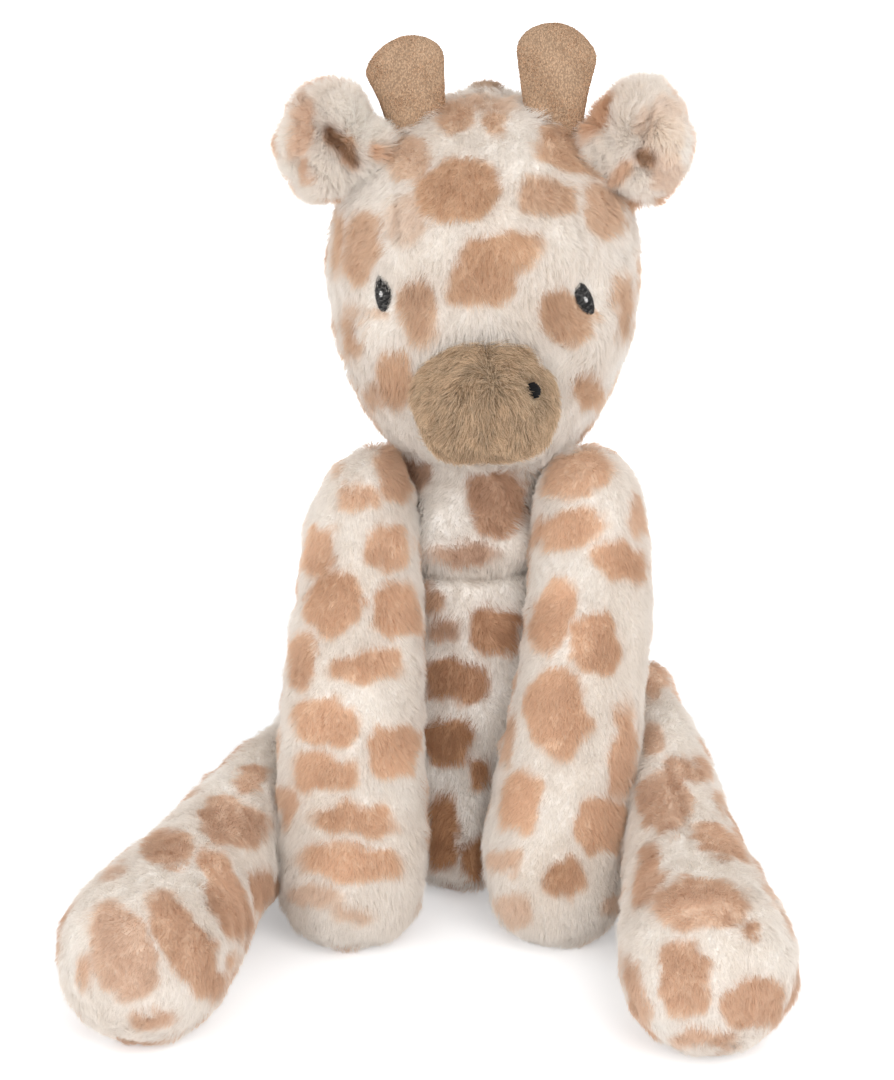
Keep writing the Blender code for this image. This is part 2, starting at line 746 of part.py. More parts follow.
def make_muzzle(neck):
    front, up = Vector((0, -1, 0)), Vector((0, 0, 1))
    face = make_globe("muzzle_seat", MATERIALS["pouch"], head_point, GAP, 24, ROUND_HEAD + 8, up, neck)
    face.hide_render = True
    face.display_type = "WIRE"
    skin = make_globe_skin(
        "muzzle_skin", MATERIALS["muzzle"], muzzle_point, FUR_CLOTH, 14, ROUND_FINE, front, neck,
    )
    cut_with(skin, face)
    inset = -FUR_CLOTH - GAP
    stuffing = make_globe(
        "muzzle_stuffing", MATERIALS["fill"], muzzle_point, inset, 7, ROUND_FINE // 2, front, neck,
    )
    cut_with(stuffing, face)
    across = Vector((1, 0, 0))
    for label, sign in SIDES:
        left = 1 - NOSTRIL_SIDE_SHARE**2 - NOSTRIL_UP_SHARE**2
        offset = Vector((
            sign * MUZZLE_HALF_WIDTH * NOSTRIL_SIDE_SHARE,
            -MUZZLE_HALF_DEPTH * math.sqrt(left),
            MUZZLE_HALF_HEIGHT * NOSTRIL_UP_SHARE,
        ))
        name = label + "_nostril"
        make_stitched_patch(
            name, MATERIALS["thread"], muzzle_point, MUZZLE_CENTRE, offset, across, up,
            (NOSTRIL_HALF_WIDTH, NOSTRIL_HALF_HEIGHT), GAP, neck,
        )
    return face


def make_eyes(neck):
    for label, sign in SIDES:
        middle = Vector((sign * EYE_SIDE, 0, EYE_RISE))
        middle.y = -HEAD_HALF_DEPTH * math.sqrt(1 - (EYE_SIDE / HEAD_HALF_WIDTH) ** 2)
        tilt = math.radians(EYE_TILT_DEG) * sign
        up = Vector((-math.sin(tilt), 0, math.cos(tilt)))
        out = Vector((sign * EYE_SIDE / HEAD_HALF_WIDTH**2, middle.y / HEAD_HALF_DEPTH**2, 0)).normalized()
        across = up.cross(out).normalized()
        make_stitched_patch(
            label + "_eye", MATERIALS["thread"], head_point, HEAD_CENTRE, middle, across, up,
            (EYE_HALF_WIDTH, EYE_HALF_HEIGHT), GAP, neck,
        )
        lift = GAP + STITCH_HEIGHT + GAP
        make_stitched_patch(
            label + "_eye_glint", MATERIALS["glint"], head_point, HEAD_CENTRE, middle, across, up,
            (GLINT_RADIUS, GLINT_RADIUS), lift, neck,
        )


def drop_to_head(point, way, lift):
    """Slide a point along a line until it lies on the head, with some lift."""
    low, high = -HEAD_HALF_DEPTH, HEAD_HALF_DEPTH
    for _ in range(HALVINGS):
        middle = (low + high) / 2
        from_centre = point + way * middle - HEAD_CENTRE
        if from_centre.length > head_reach(from_centre.normalized()) + lift:
            low = middle
        else:
            high = middle
    return point + way * high


def make_horns(neck):
    for label, side_shift, spread_deg, height in (
        ("left", LEFT_HORN_SIDE, LEFT_HORN_SPREAD_DEG, LEFT_HORN_HEIGHT),
        ("right", -RIGHT_HORN_SIDE, -RIGHT_HORN_SPREAD_DEG, RIGHT_HORN_HEIGHT),
    ):
        spread = math.radians(spread_deg)
        lean = math.radians(HORN_LEAN_BACK_DEG)
        along = Vector((math.sin(spread), math.sin(lean), math.cos(spread))).normalized()
        side = (Vector((1, 0, 0)) - along * along.x).normalized()
        front = side.cross(along)
        above = HEAD_CENTRE + Vector((side_shift, -HORN_FORWARD, HEAD_CROWN))
        base = drop_to_head(above, -along, GAP)

        def horn_rings(bm, inset, top_steps, count):
            rings = []
            start = height - HORN_TOP_ROUND
            heights = [0.0, start / 2, start]
            for k in range(1, top_steps):
                heights.append(start + HORN_TOP_ROUND * math.sin(math.radians(90) * k / top_steps))
            for z in heights:
                end = round_off(max(z - start, 0) / HORN_TOP_ROUND, HORN_FULLNESS_SHARE)
                a = HORN_HALF_WIDTH * curve_value(HORN_WIDTH_SHARES, z / height) * end - inset
                b = HORN_HALF_THICKNESS * (HORN_EDGE_SHARE + (1 - HORN_EDGE_SHARE) * end) - inset
                reach = min(z, height - inset)
                rings.append(add_ring(bm, base + along * reach, side, front, a, b, count))
            for vert in rings[0]:
                vert.co = drop_to_head(vert.co, -along, GAP)
            rings.append([bm.verts.new(base + along * (height - inset))])
            return rings

        bm = bmesh.new()
        outside = horn_rings(bm, 0.0, 5, ROUND_FINE - 4)
        inside = horn_rings(bm, KNIT_CLOTH, 3, ROUND_SMALL)
        stitch_all(bm, outside[::-1] + inside)
        finish_mesh(bm, label + "_horn_skin", MATERIALS["knit"], neck)

        bm = bmesh.new()
        rings = horn_rings(bm, KNIT_CLOTH + GAP, 3, ROUND_SMALL)
        foot = bm.verts.new(drop_to_head(base + along * HORN_HALF_THICKNESS, -along, GAP))
        stitch_all(bm, [[foot]] + rings)
        finish_mesh(bm, label + "_horn_stuffing", MATERIALS["fill"], neck)


def make_ears(neck):
    for label, sign in SIDES:
        way = Vector((sign * EAR_ROOT_SHARES[0], EAR_ROOT_SHARES[1], EAR_ROOT_SHARES[2]))
        root_radius = EAR_HALF_WIDTH * EAR_ROOT_SHARE
        root = head_point(way, root_radius - EAR_SEAT_DEPTH)
        hinge = make_joint(label + "_ear_axis", root)
        table = [(t * EAR_LENGTH, w * EAR_HALF_WIDTH, d * EAR_HALF_THICKNESS) for t, w, d in EAR_SHARES]
        limb = Limb(root, EAR_LENGTH, root_radius, EAR_TIP_ROUND, table)
        along = Vector((sign * EAR_REACH_SHARES[0], EAR_REACH_SHARES[1], EAR_REACH_SHARES[2])).normalized()
        limb.aim(along, Vector((0, 0, 1)))
        rows = []
        for s, a, b in limb.stations(2, 5, 5):
            rows.append((s, a, min(b, EAR_HALF_THICKNESS)))
        bm = bmesh.new()
        dish = -EAR_DISH * sign
        stitch_all(bm, limb.rings(bm, rows, ROUND_FINE - 4, dish))
        hinge_line = limb.side
        ear = finish_mesh(bm, label + "_ear", MATERIALS["fur"], hinge)
        for step in (-1, 0, 1):
            turn = Matrix.Rotation(math.radians(EAR_FLOP_DEG) * step, 3, hinge_line)

            def turned(direction, lift):
                return root + turn @ (head_point(direction, lift) - root)

            name = label + "_ear_seat_" + "back rest front".split()[step + 1]
            up = Vector((0, 0, 1))
            seat = make_globe(name, MATERIALS["pouch"], turned, GAP, 20, ROUND_HEAD + 4, up, None)
            seat.hide_render = True
            seat.display_type = "WIRE"
            cut_with(ear, seat)


def crest_section(bm, base, out, across, height, half_width):
    """A low arch of vertices that stands on the cloth."""
    ring = []
    for k in range(CREST_STEPS + 1):
        angle = math.pi * k / CREST_STEPS
        offset = across * (half_width * math.cos(angle)) + out * (height * math.sin(angle))
        ring.append(bm.verts.new(base + offset))
    return ring


def make_crest(name, bases, across, parent):
    """A crest along a row of (place, way out), thin at both ends."""
    bm = bmesh.new()
    rings = []
    last = len(bases) - 1
    for k, (base, out) in enumerate(bases):
        share = math.sqrt(math.sin(math.pi * (k + MANE_END_SHARE) / (last + 2 * MANE_END_SHARE)))
        rings.append(crest_section(bm, base, out, across, MANE_HEIGHT * share, MANE_HALF_WIDTH * share))
    for ring in (rings[0], rings[-1]):
        bm.faces.new(ring)
    stitch_all(bm, rings)
    return finish_mesh(bm, name, MATERIALS["mane"], parent)


def make_manes(neck, face, press):
    bases = []
    for k in range(HEAD_MANE_STEPS + 1):
        share = k / HEAD_MANE_STEPS
        angle = math.radians(HEAD_MANE_START_DEG + (HEAD_MANE_END_DEG - HEAD_MANE_START_DEG) * share)
        way = Vector((0, math.sin(angle), math.cos(angle)))
        bases.append((head_point(way, -GAP), way))
    cut_with(make_crest("head_mane", bases, Vector((1, 0, 0)), neck), face)

    bases = []
    for k in range(BACK_MANE_STEPS + 1):
        share = BACK_MANE_TOP_SHARE + (BACK_MANE_BOTTOM_SHARE - BACK_MANE_TOP_SHARE) * k / BACK_MANE_STEPS
        height = NECK_HEIGHT * share
        point, out = torso_surface(height, math.pi, 1)
        bases.append((point - out * GAP, out))
    cut_with(make_crest("back_mane", bases, Vector((1, 0, 0)), None), press)


def make_tail():
    root = tail_place()
    hinge = make_joint("tail_axis", root)
    rows = [(TAIL_ROOT_RADIUS, TAIL_RADIUS, TAIL_RADIUS), (TAIL_LENGTH, TAIL_RADIUS, TAIL_RADIUS)]
    tail = Limb(root, TAIL_LENGTH, TAIL_ROOT_RADIUS, TAIL_TIP_ROUND, rows)
    drop = math.asin((root.z - TUFT_RADIUS - FLAT_DEPTH) / (TAIL_LENGTH + TUFT_LENGTH / 2))
    along = Vector((0, math.cos(drop), -math.sin(drop)))
    tail.aim(along, Vector((1, 0, 0)))
    bm = bmesh.new()
    stitch_all(bm, tail.rings(bm, tail.stations(3, 5, 3), ROUND_SMALL))
    finish_mesh(bm, "tail", MATERIALS["fur"], hinge)

    start = root + along * (TAIL_LENGTH + TUFT_ROOT_ROUND + GAP)
    rows = [(t * TUFT_LENGTH, w * TUFT_RADIUS, w * TUFT_RADIUS) for t, w in TUFT_SHARES]
    tuft = Limb(start, TUFT_LENGTH, TUFT_ROOT_ROUND, TUFT_TIP_ROUND, rows)
    tuft.aim(along, Vector((1, 0, 0)))
    bm = bmesh.new()
    stitch_all(bm, tuft.rings(bm, tuft.stations(2, 4, 4), ROUND_SMALL))
    finish_mesh(bm, "tail_tuft", MATERIALS["mane"], hinge)


# The toy's own left is at +X, which is the viewer's right.
SIDES = (("left", 1), ("right", -1))
HIP_HALF_HEIGHTS = {"left": LEFT_HIP_HALF_HEIGHT, "right": RIGHT_HIP_HALF_HEIGHT}


def main():
    clear_scene()
    make_materials()
    press = make_torso_press()
    make_arm("left", 1, LEFT_ARM_INWARD_DEG, press)
    make_arm("right", -1, RIGHT_ARM_INWARD_DEG, press)
    make_leg("left", 1, LEFT_LEG_SPLAY_DEG, press)
    make_leg("right", -1, RIGHT_LEG_SPLAY_DEG, press)
    make_tail()
    make_torso(make_hollows("hollow", GAP + ROOT_EASE + ROOT_EASE))
    neck = make_head()
    face = make_muzzle(neck)
    make_eyes(neck)
    make_horns(neck)
    make_ears(neck)
    make_manes(neck, face, press)


main()
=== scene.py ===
import json
import math

import bmesh
import bpy
import numpy as np
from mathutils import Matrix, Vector
from mathutils.bvhtree import BVHTree


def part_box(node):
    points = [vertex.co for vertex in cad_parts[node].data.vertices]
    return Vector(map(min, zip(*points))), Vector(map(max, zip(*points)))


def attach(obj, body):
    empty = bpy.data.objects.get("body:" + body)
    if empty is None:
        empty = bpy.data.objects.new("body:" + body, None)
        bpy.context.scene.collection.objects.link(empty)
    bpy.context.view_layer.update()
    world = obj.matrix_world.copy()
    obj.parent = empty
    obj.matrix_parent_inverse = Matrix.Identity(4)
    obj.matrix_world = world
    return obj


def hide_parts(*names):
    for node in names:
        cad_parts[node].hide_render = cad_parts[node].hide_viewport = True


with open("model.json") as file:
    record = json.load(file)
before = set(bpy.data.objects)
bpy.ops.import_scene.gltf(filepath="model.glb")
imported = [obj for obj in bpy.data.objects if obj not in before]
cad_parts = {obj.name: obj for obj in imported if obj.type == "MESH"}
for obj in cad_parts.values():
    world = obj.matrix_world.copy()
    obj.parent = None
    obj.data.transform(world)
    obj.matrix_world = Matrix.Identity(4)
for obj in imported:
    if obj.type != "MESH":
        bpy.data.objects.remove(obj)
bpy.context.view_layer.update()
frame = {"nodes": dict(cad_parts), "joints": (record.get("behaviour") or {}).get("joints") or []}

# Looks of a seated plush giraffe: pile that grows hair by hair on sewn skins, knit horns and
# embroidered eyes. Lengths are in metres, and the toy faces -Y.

# The photograph's camera. A pixel is one of the photograph's, 894 wide and 1080 high.
CAMERA_PLACE = (-0.0084, -1.06626, 0.53800)
CAMERA_DOWN_DEG = 22.0
CAMERA_FOCAL_PIXELS = 3432.8
PHOTO_SIZE = (894, 1080)
SENSOR_WIDTH_MM = 36.0

# The shown patches. Each ends a little inside its written size, because its edge is soft.
PATCH_TRIM = 1.04
PATCH_EDGE_PIXELS = 3.2
PATCH_NOISE_PIXELS = (2.6, 1.2)
PATCH_SQUARENESS = 2.6
SHOWN_FADE_PIXELS = (12, 4)

# Colours, linear
CREAM = (0.95, 0.905, 0.855)
CREAM_SHADE = (0.89, 0.825, 0.755)
HEAD_TAN = (0.81, 0.60, 0.43)
# The torso's tan is darker than the other tans: partly its own tone, partly painted shade of the chest, which
# lies under the head and between the arms.
TORSO_TAN_AND_SHADE = (0.62, 0.385, 0.245)
LIMB_TAN = (0.87, 0.66, 0.495)
LEG_TAN = (0.81, 0.605, 0.455)
EAR_TAN = (0.89, 0.67, 0.49)
# Painted shade: the hairs over an ear's pocket darken towards this brown.
POCKET_SHADE = (0.40, 0.235, 0.14)
DEEP_SHARES = (0.83, 0.76, 0.70)
TAUPE = (0.98, 0.775, 0.555)
TAUPE_DARK = (0.33, 0.205, 0.11)
MANE = (0.78, 0.58, 0.42)
MANE_DARK = (0.46, 0.32, 0.22)
HORN_TAN = (0.87, 0.595, 0.395)
HORN_DARK = (0.20, 0.115, 0.065)
THREAD_DARK = (0.018, 0.017, 0.018)
THREAD_BLACK = (0.008, 0.008, 0.008)
THREAD_GREY = (0.17, 0.165, 0.16)
THREAD_WHITE = (0.86, 0.86, 0.86)

# Pile and cloth. A wave is (seed, size, strength), and a spread is the least and most of a random share.
FUR_LENGTH = 0.0050
FUR_RADIUS = 0.000046
FUR_POINTS = 6
FUR_TAPER = (1.0, 1.0, 0.92, 0.8, 0.6, 0.25)
ROOT_DEPTH = 0.0003
SWIRL_SIZE = 0.020
RUFFLE_WAVE = (60, 0.006, 0.22)
LENGTH_WAVE = (70, 0.012, 0.12)
SLOPE_WAVE = (80, 0.008, 0.14)
SLOPE_SCATTER = 0.09
SLOPE_LIMITS = (0.10, 1.45)
BEND_AT_ROOT, BEND_ALONG = 0.35, 0.95
LENGTH_SPREAD = (0.72, 1.1)
THICKNESS_SPREAD = (0.8, 1.2)
TONE_SPREAD = (0.93, 1.05)
TUFT_PLACES = 8192
TIP_SHADE = 1.04
FLOOR_CLEARANCE = 0.0001
SKIN_VOXEL = 0.0013
HAIR_SHARE = 1.0
HAIRS = {
    "torso": 130000, "arm": 115000, "leg": 125000, "head": 170000,
    "muzzle": 52000, "ear": 46000, "horn": 11000,
}

# The pattern where the photograph doesn't show it
CELL_SIZE = 0.0265
CELL_GAP = 0.0060
CELL_PLACES = 4096
CELL_WARP = 0.003
CELL_EDGE_NOISE = 0.0006
CELL_GAP_SHARES = (0.35, 0.75)
CELL_SIZE_SHARES = (0.78, 0.66)

# Patches that the photograph shows: (centre x, centre y, half width, half height, tilt in degrees, strength)
HEAD_PATCHES = [
    (457, 191, 46, 33, -8, 1.0), (500, 257, 40, 24, -14, 1.0), (481, 284, 31, 24, -8, 0.95),
    (549, 199, 30, 20, 12, 0.85), (606, 212, 20, 31, -8, 0.8), (578, 150, 45, 25, 20, 0.9),
    (456, 117, 20, 18, -10, 0.85), (497, 121, 13, 16, 0, 0.85), (404, 160, 21, 24, 35, 0.75),
    (361, 249, 17, 38, 10, 0.85), (404, 220, 22, 24, -20, 0.45), (336, 242, 8, 34, 0, 0.9),
    (350, 337, 9, 25, -10, 0.9), (418, 317, 20, 33, -6, 0.85), (395, 384, 20, 29, -12, 0.95),
    (373, 400, 8, 14, -20, 0.8), (569, 320, 25, 29, -30, 0.9), (588, 395, 15, 20, 12, 0.95),
    # The patch at (375, 317) is painted shade below the toy's right eye, and the one at (600, 316) is painted
    # shade in the crease below its left eye.
    (627, 310, 9, 34, 4, 0.85), (375, 317, 15, 10, 0, 0.55), (485, 100, 42, 7, 0, 0.6),
    (600, 316, 7, 4, 30, 1.0),
]
RIGHT_EAR_PATCHES = [
    (299, 128, 11, 36, 8, 0.65), (343, 147, 10, 22, -35, 1.0), (306, 172, 8, 12, 0, 0.7),
    (384, 154, 10, 10, 0, 0.8),
]
LEFT_EAR_PATCHES = [
    (662, 132, 24, 37, 15, 0.28), (668, 172, 15, 20, -20, 0.40), (645, 158, 12, 8, 12, 1.0),
    # The patch at (596, 114) is painted shade, deep inside the ear by its base.
    (596, 114, 8, 29, 22, 1.0), (618, 174, 15, 6, -25, 0.8),
]
RIGHT_ARM_PATCHES = [
    (396, 472, 21, 29, -25, 0.9), (361, 500, 23, 14, -8, 0.9), (334, 472, 8, 10, 0, 0.7),
    (317, 552, 17, 28, 10, 0.95), (391, 550, 24, 22, 12, 0.95), (333, 604, 28, 34, 18, 1.0),
    (397, 612, 26, 30, -14, 1.0), (299, 663, 14, 29, 4, 0.95), (364, 668, 41, 19, -6, 1.0),
    (325, 725, 35, 24, 6, 1.0), (397, 754, 26, 28, -8, 1.0), (325, 776, 36, 19, 2, 1.0),
    (285, 808, 10, 22, 0, 0.9), (354, 822, 45, 14, 3, 1.0), (351, 865, 56, 19, 5, 1.0),
    (318, 900, 30, 14, 12, 0.6), (352, 918, 22, 8, 10, 0.6),
]
TORSO_PATCHES_AND_SHADE = [
    (497, 504, 31, 35, -20, 0.9), (460, 558, 37, 12, 0, 0.8), (431, 601, 12, 17, 0, 0.9),
    (495, 633, 27, 25, 10, 1.0), (441, 634, 18, 9, -10, 0.85), (456, 683, 35, 23, 8, 1.0),
    # The patches at (448, 743), (480, 776), (442, 836) and (475, 864), low between the arms, are partly
    # painted shade: strengths above 1 make them darker than the tan.
    (448, 743, 27, 24, 0, 1.05), (480, 776, 14, 16, 0, 1.05), (442, 836, 20, 39, 0, 1.08),
    (475, 864, 14, 27, 0, 1.08), (416, 470, 15, 30, 20, 0.8),
]
LEFT_ARM_PATCHES = [
    (576, 473, 40, 24, -18, 0.95), (569, 530, 37, 20, -20, 1.0), (640, 518, 11, 22, 0, 0.85),
    (620, 564, 32, 20, 22, 1.0), (551, 617, 21, 40, 16, 1.0), (596, 645, 27, 32, 0, 1.0),
    (558, 713, 32, 47, -12, 1.0), (507, 743, 8, 23, 8, 0.9), (623, 752, 14, 48, 4, 0.95),
    (518, 802, 23, 32, 8, 1.0), (602, 828, 29, 30, 0, 1.0), (503, 864, 21, 14, -5, 0.7),
    (565, 880, 18, 23, 22, 1.0), (513, 914, 22, 20, 0, 0.6), (615, 908, 9, 7, 0, 0.7),
]
RIGHT_LEG_PATCHES = [
    (251, 778, 20, 12, -20, 0.9), (232, 822, 37, 25, 18, 0.9), (167, 847, 28, 19, 10, 0.9),
    (226, 896, 19, 51, -24, 1.0), (270, 905, 15, 36, -10, 1.0), (241, 975, 13, 22, 12, 1.0),
    (121, 953, 33, 54, -20, 0.8), (187, 948, 23, 64, -32, 1.0), (85, 977, 8, 17, 0, 0.9),
    (150, 1023, 25, 8, 5, 0.9), (112, 872, 14, 8, -28, 0.6),
]
LEFT_LEG_PATCHES = [
    # The patches at (652, 740) and (664, 802) are partly painted shade, beside the arm and along the leg's
    # seam.
    (656, 672, 15, 32, 14, 0.9), (652, 740, 13, 17, 0, 0.85), (692, 771, 25, 11, 6, 0.9),
    (664, 802, 28, 33, -12, 0.9), (727, 801, 9, 12, -10, 0.85), (723, 841, 33, 15, 20, 0.95),
    (645, 876, 15, 34, 10, 0.95), (700, 905, 50, 29, -4, 0.95), (684, 982, 26, 40, -6, 1.0),
    (756, 1006, 33, 23, -25, 1.0), (706, 1043, 34, 9, 0, 0.9), (634, 992, 11, 36, -14, 0.9),
    (775, 892, 9, 14, -10, 0.85), (752, 930, 11, 9, 0, 1.0),
]

# Outlines that the photograph shows, with the pile: (y, left x, right x)
RIGHT_ARM_OUTLINE = [
    (452, 351, 403), (466, 334, 408), (482, 322, 412), (500, 314, 415), (526, 304, 418), (560, 300, 420),
    (600, 297, 423), (640, 288, 424), (680, 284, 424), (760, 278, 425), (850, 275, 427), (905, 280, 422),
]
LEFT_ARM_OUTLINE = [
    (452, 553, 621), (466, 546, 631), (482, 538, 638), (500, 533, 643), (540, 529, 650), (600, 527, 653),
    (630, 523, 652), (660, 519, 646), (760, 499, 640), (840, 482, 633), (905, 490, 624),
]
PILE_PIXELS = 5

# Forms of the soft skins that the photograph shows, in its pixels. A spot is (x, y, half width, half height).
FOREHEAD_SEAMS = [[(398, 178), (398, 238)], [(576, 212), (585, 270)]]
MUZZLE_TOP_SPOT = (488, 338, 52, 12)
MUZZLE_TOP_EDGE = 341
LEFT_LEG_CREASES = [[(668, 762), (684, 800), (700, 846)], [(676, 826), (706, 836)], [(735, 922), (756, 930)]]
RIGHT_LEG_CREASES = [[(205, 862), (232, 892)], [(118, 900), (150, 886)]]
RIGHT_EAR_FORM = {
    "pocket": [(330, 131), (343, 149), (355, 163)], "pocket_half_width": 5.5,
    "crease": [(355, 163), (380, 160)],
    "lobes": [((366, 116, 26, 24), 0.0078), ((318, 178, 23, 18), 0.0044), ((303, 130, 14, 32), 0.0030)],
}
LEFT_EAR_FORM = {
    "pocket": [(640, 155), (652, 159)], "pocket_half_width": 5.0,
    "crease": [(644, 158), (616, 173)],
    "lobes": [((618, 118, 22, 34), 0.0078), ((664, 130, 19, 40), 0.0050), ((642, 186, 20, 15), 0.0046)],
}


def unit(v):
    return v / np.maximum(np.linalg.norm(v, axis=-1, keepdims=True), 1e-9)


def smooth_step(low, high, x):
    t = np.clip((x - low) / (high - low), 0.0, 1.0)
    return t * t * (3 - 2 * t)


def bump(distance, width):
    return np.exp(-((distance / width) ** 2))


def camera_depth(points):
    """Distance in front of the photograph's camera, and height above its axis."""
    tilt = math.radians(CAMERA_DOWN_DEG)
    d = points - np.array(CAMERA_PLACE)
    depth = d[:, 1] * math.cos(tilt) - d[:, 2] * math.sin(tilt)
    rise = d[:, 1] * math.sin(tilt) + d[:, 2] * math.cos(tilt)
    return depth, rise


def to_pixels(points):
    """Where points in the row frame lie in the photograph."""
    depth, rise = camera_depth(points)
    x = PHOTO_SIZE[0] / 2 + CAMERA_FOCAL_PIXELS * (points[:, 0] - CAMERA_PLACE[0]) / depth
    return x, PHOTO_SIZE[1] / 2 - CAMERA_FOCAL_PIXELS * rise / depth


def facing_camera(points, normals):
    return (normals * unit(np.array(CAMERA_PLACE) - points)).sum(axis=1)


def pixel_reach(points, spot):
    """How far points lie from a spot of the photograph, as a share of the spot's radii."""
    x, y = to_pixels(points)
    centre_x, centre_y, half_width, half_height = spot
    return np.hypot((x - centre_x) / half_width, (y - centre_y) / half_height)


def pixel_line(points, line):
    """How many pixels points lie from a line drawn over the photograph."""
    x, y = to_pixels(points)
    reach = np.full(len(points), 1e6)
    for (x0, y0), (x1, y1) in zip(line, line[1:]):
        t = np.clip(((x - x0) * (x1 - x0) + (y - y0) * (y1 - y0)) / ((x1 - x0) ** 2 + (y1 - y0) ** 2), 0, 1)
        reach = np.minimum(reach, np.hypot(x - x0 - t * (x1 - x0), y - y0 - t * (y1 - y0)))
    return reach


class Waves:
    """Smooth noise made of sine waves, from about -1 to 1."""

    def __init__(self, seed, size, count=14):
        rng = np.random.default_rng(seed)
        ways = unit(rng.normal(size=(count, 3)))
        self.ways = ways * (math.tau / (size * rng.uniform(0.6, 1.6, (count, 1))))
        self.phases = rng.uniform(0, math.tau, count)
        self.scale = math.sqrt(2.0 / count)

    def __call__(self, points):
        return np.sin(points @ self.ways.T + self.phases).sum(axis=1) * self.scale


def waves3(seed, size):
    three = [Waves(seed + k, size) for k in range(3)]
    return lambda points: np.stack([w(points) for w in three], axis=1)


edge_noise = Waves(11, 0.012)
fine_noise = Waves(12, 0.004)
tone_noise = Waves(13, 0.03)
warp_noise = waves3(14, 0.03)


def cell_key(cell, count):
    return (cell[:, 0] * 73856093 ^ cell[:, 1] * 19349663 ^ cell[:, 2] * 83492791) & (count - 1)


def cell_mask(points, seed):
    """Rounded polygons with gaps between them."""
    warped = points + warp_noise(points) * CELL_WARP
    grid = np.floor(warped / CELL_SIZE).astype(int)
    first = np.full(len(points), 1e9)
    second = np.full(len(points), 1e9)
    jitter = np.random.default_rng(seed).uniform(0.12, 0.88, (CELL_PLACES, 3))
    around = (-1, 0, 1)
    for step in [(x, y, z) for x in around for y in around for z in around]:
        cell = grid + step
        centre = (cell + jitter[cell_key(cell, CELL_PLACES)]) * CELL_SIZE
        distance = np.linalg.norm(warped - centre, axis=1)
        nearer = distance < first
        second = np.where(nearer, first, np.minimum(second, distance))
        first = np.where(nearer, distance, first)
    edge = (second - first) * 0.5 + edge_noise(points) * CELL_EDGE_NOISE
    inside = smooth_step(CELL_GAP * CELL_GAP_SHARES[0], CELL_GAP * CELL_GAP_SHARES[1], edge)
    return inside * smooth_step(CELL_SIZE * CELL_SIZE_SHARES[0], CELL_SIZE * CELL_SIZE_SHARES[1], first)


def patch_mask(points, patches):
    """Tilted rounded boxes with soft, uneven edges, where the photograph shows them."""
    x, y = to_pixels(points)
    rough, fine = PATCH_NOISE_PIXELS
    x = x + edge_noise(points) * rough + fine_noise(points) * fine
    y = y + edge_noise(points[:, ::-1]) * rough + fine_noise(points[:, ::-1]) * fine
    mask = np.zeros(len(points))
    for centre_x, centre_y, half_width, half_height, tilt, strength in patches:
        c, s = math.cos(math.radians(tilt)), math.sin(math.radians(tilt))
        u = np.abs(((x - centre_x) * c + (y - centre_y) * s) / half_width)
        v = np.abs((-(x - centre_x) * s + (y - centre_y) * c) / half_height)
        reach = (u**PATCH_SQUARENESS + v**PATCH_SQUARENESS) ** (1 / PATCH_SQUARENESS) * PATCH_TRIM
        soft = PATCH_EDGE_PIXELS / min(half_width, half_height)
        mask = np.maximum(mask, strength * smooth_step(1.0 + soft, 1.0 - soft, reach))
    return mask


def coat(points, normals, patches, tan, seed, shown=None):
    """The coat's colour: the photograph's patches where it shows them, and cells elsewhere. A patch with a
    strength above 1 is partly painted shade, darker than its tan.
    """
    weight = smooth_step(0.02, 0.22, facing_camera(points, normals))
    if shown is not None:
        x, _ = to_pixels(points)
        out, into = SHOWN_FADE_PIXELS
        weight = weight * smooth_step(shown[0] - out, shown[0] + into, x)
        weight = weight * smooth_step(shown[1] + out, shown[1] - into, x)
    mask = patch_mask(points, patches) * weight + cell_mask(points, seed) * (1 - weight)
    mask = mask[:, None]
    tone = tone_noise(points)[:, None] * 0.5 + 0.5
    cream = np.array(CREAM) * (1 - tone * 0.35) + np.array(CREAM_SHADE) * tone * 0.35
    tan = np.array(tan) * (1 - tone * 0.5 * (1 - np.array(DEEP_SHARES)))
    return np.clip(cream * (1 - mask) + tan * mask, 0.02, 1.0)


# Meshes

def link(thing):
    bpy.context.scene.collection.objects.link(thing)
    return thing


def mesh_from(bm, name):
    mesh = bpy.data.meshes.new(name)
    bm.to_mesh(mesh)
    bm.free()
    return mesh


def mesh_arrays(mesh):
    count = len(mesh.vertices)
    places = np.empty(count * 3, np.float32)
    normals = np.empty(count * 3, np.float32)
    mesh.vertices.foreach_get("co", places)
    mesh.vertices.foreach_get("normal", normals)
    return places.reshape(-1, 3).astype(float), normals.reshape(-1, 3).astype(float)


def set_places(mesh, places):
    mesh.vertices.foreach_set("co", places.astype(np.float32).ravel())
    mesh.update()


def bake_modifiers(thing):
    """Give the object the mesh that its modifiers make."""
    graph = bpy.context.evaluated_depsgraph_get()
    made = bpy.data.meshes.new_from_object(thing.evaluated_get(graph), depsgraph=graph)
    old = thing.data
    thing.modifiers.clear()
    thing.data = made
    bpy.data.meshes.remove(old)


def keep_outer_shell(mesh):
    """Remove every island but the one with the most vertices."""
    bm = bmesh.new()
    bm.from_mesh(mesh)
    seen, islands = set(), []
    for start in bm.verts:
        if start in seen:
            continue
        seen.add(start)
        island, stack = [start], [start]
        while stack:
            for edge in stack.pop().link_edges:
                for vert in edge.verts:
                    if vert not in seen:
                        seen.add(vert)
                        island.append(vert)
                        stack.append(vert)
        islands.append(island)
    islands.sort(key=len)
    for island in islands[:-1]:
        bmesh.ops.delete(bm, geom=island, context="VERTS")
    bm.to_mesh(mesh)
    bm.free()


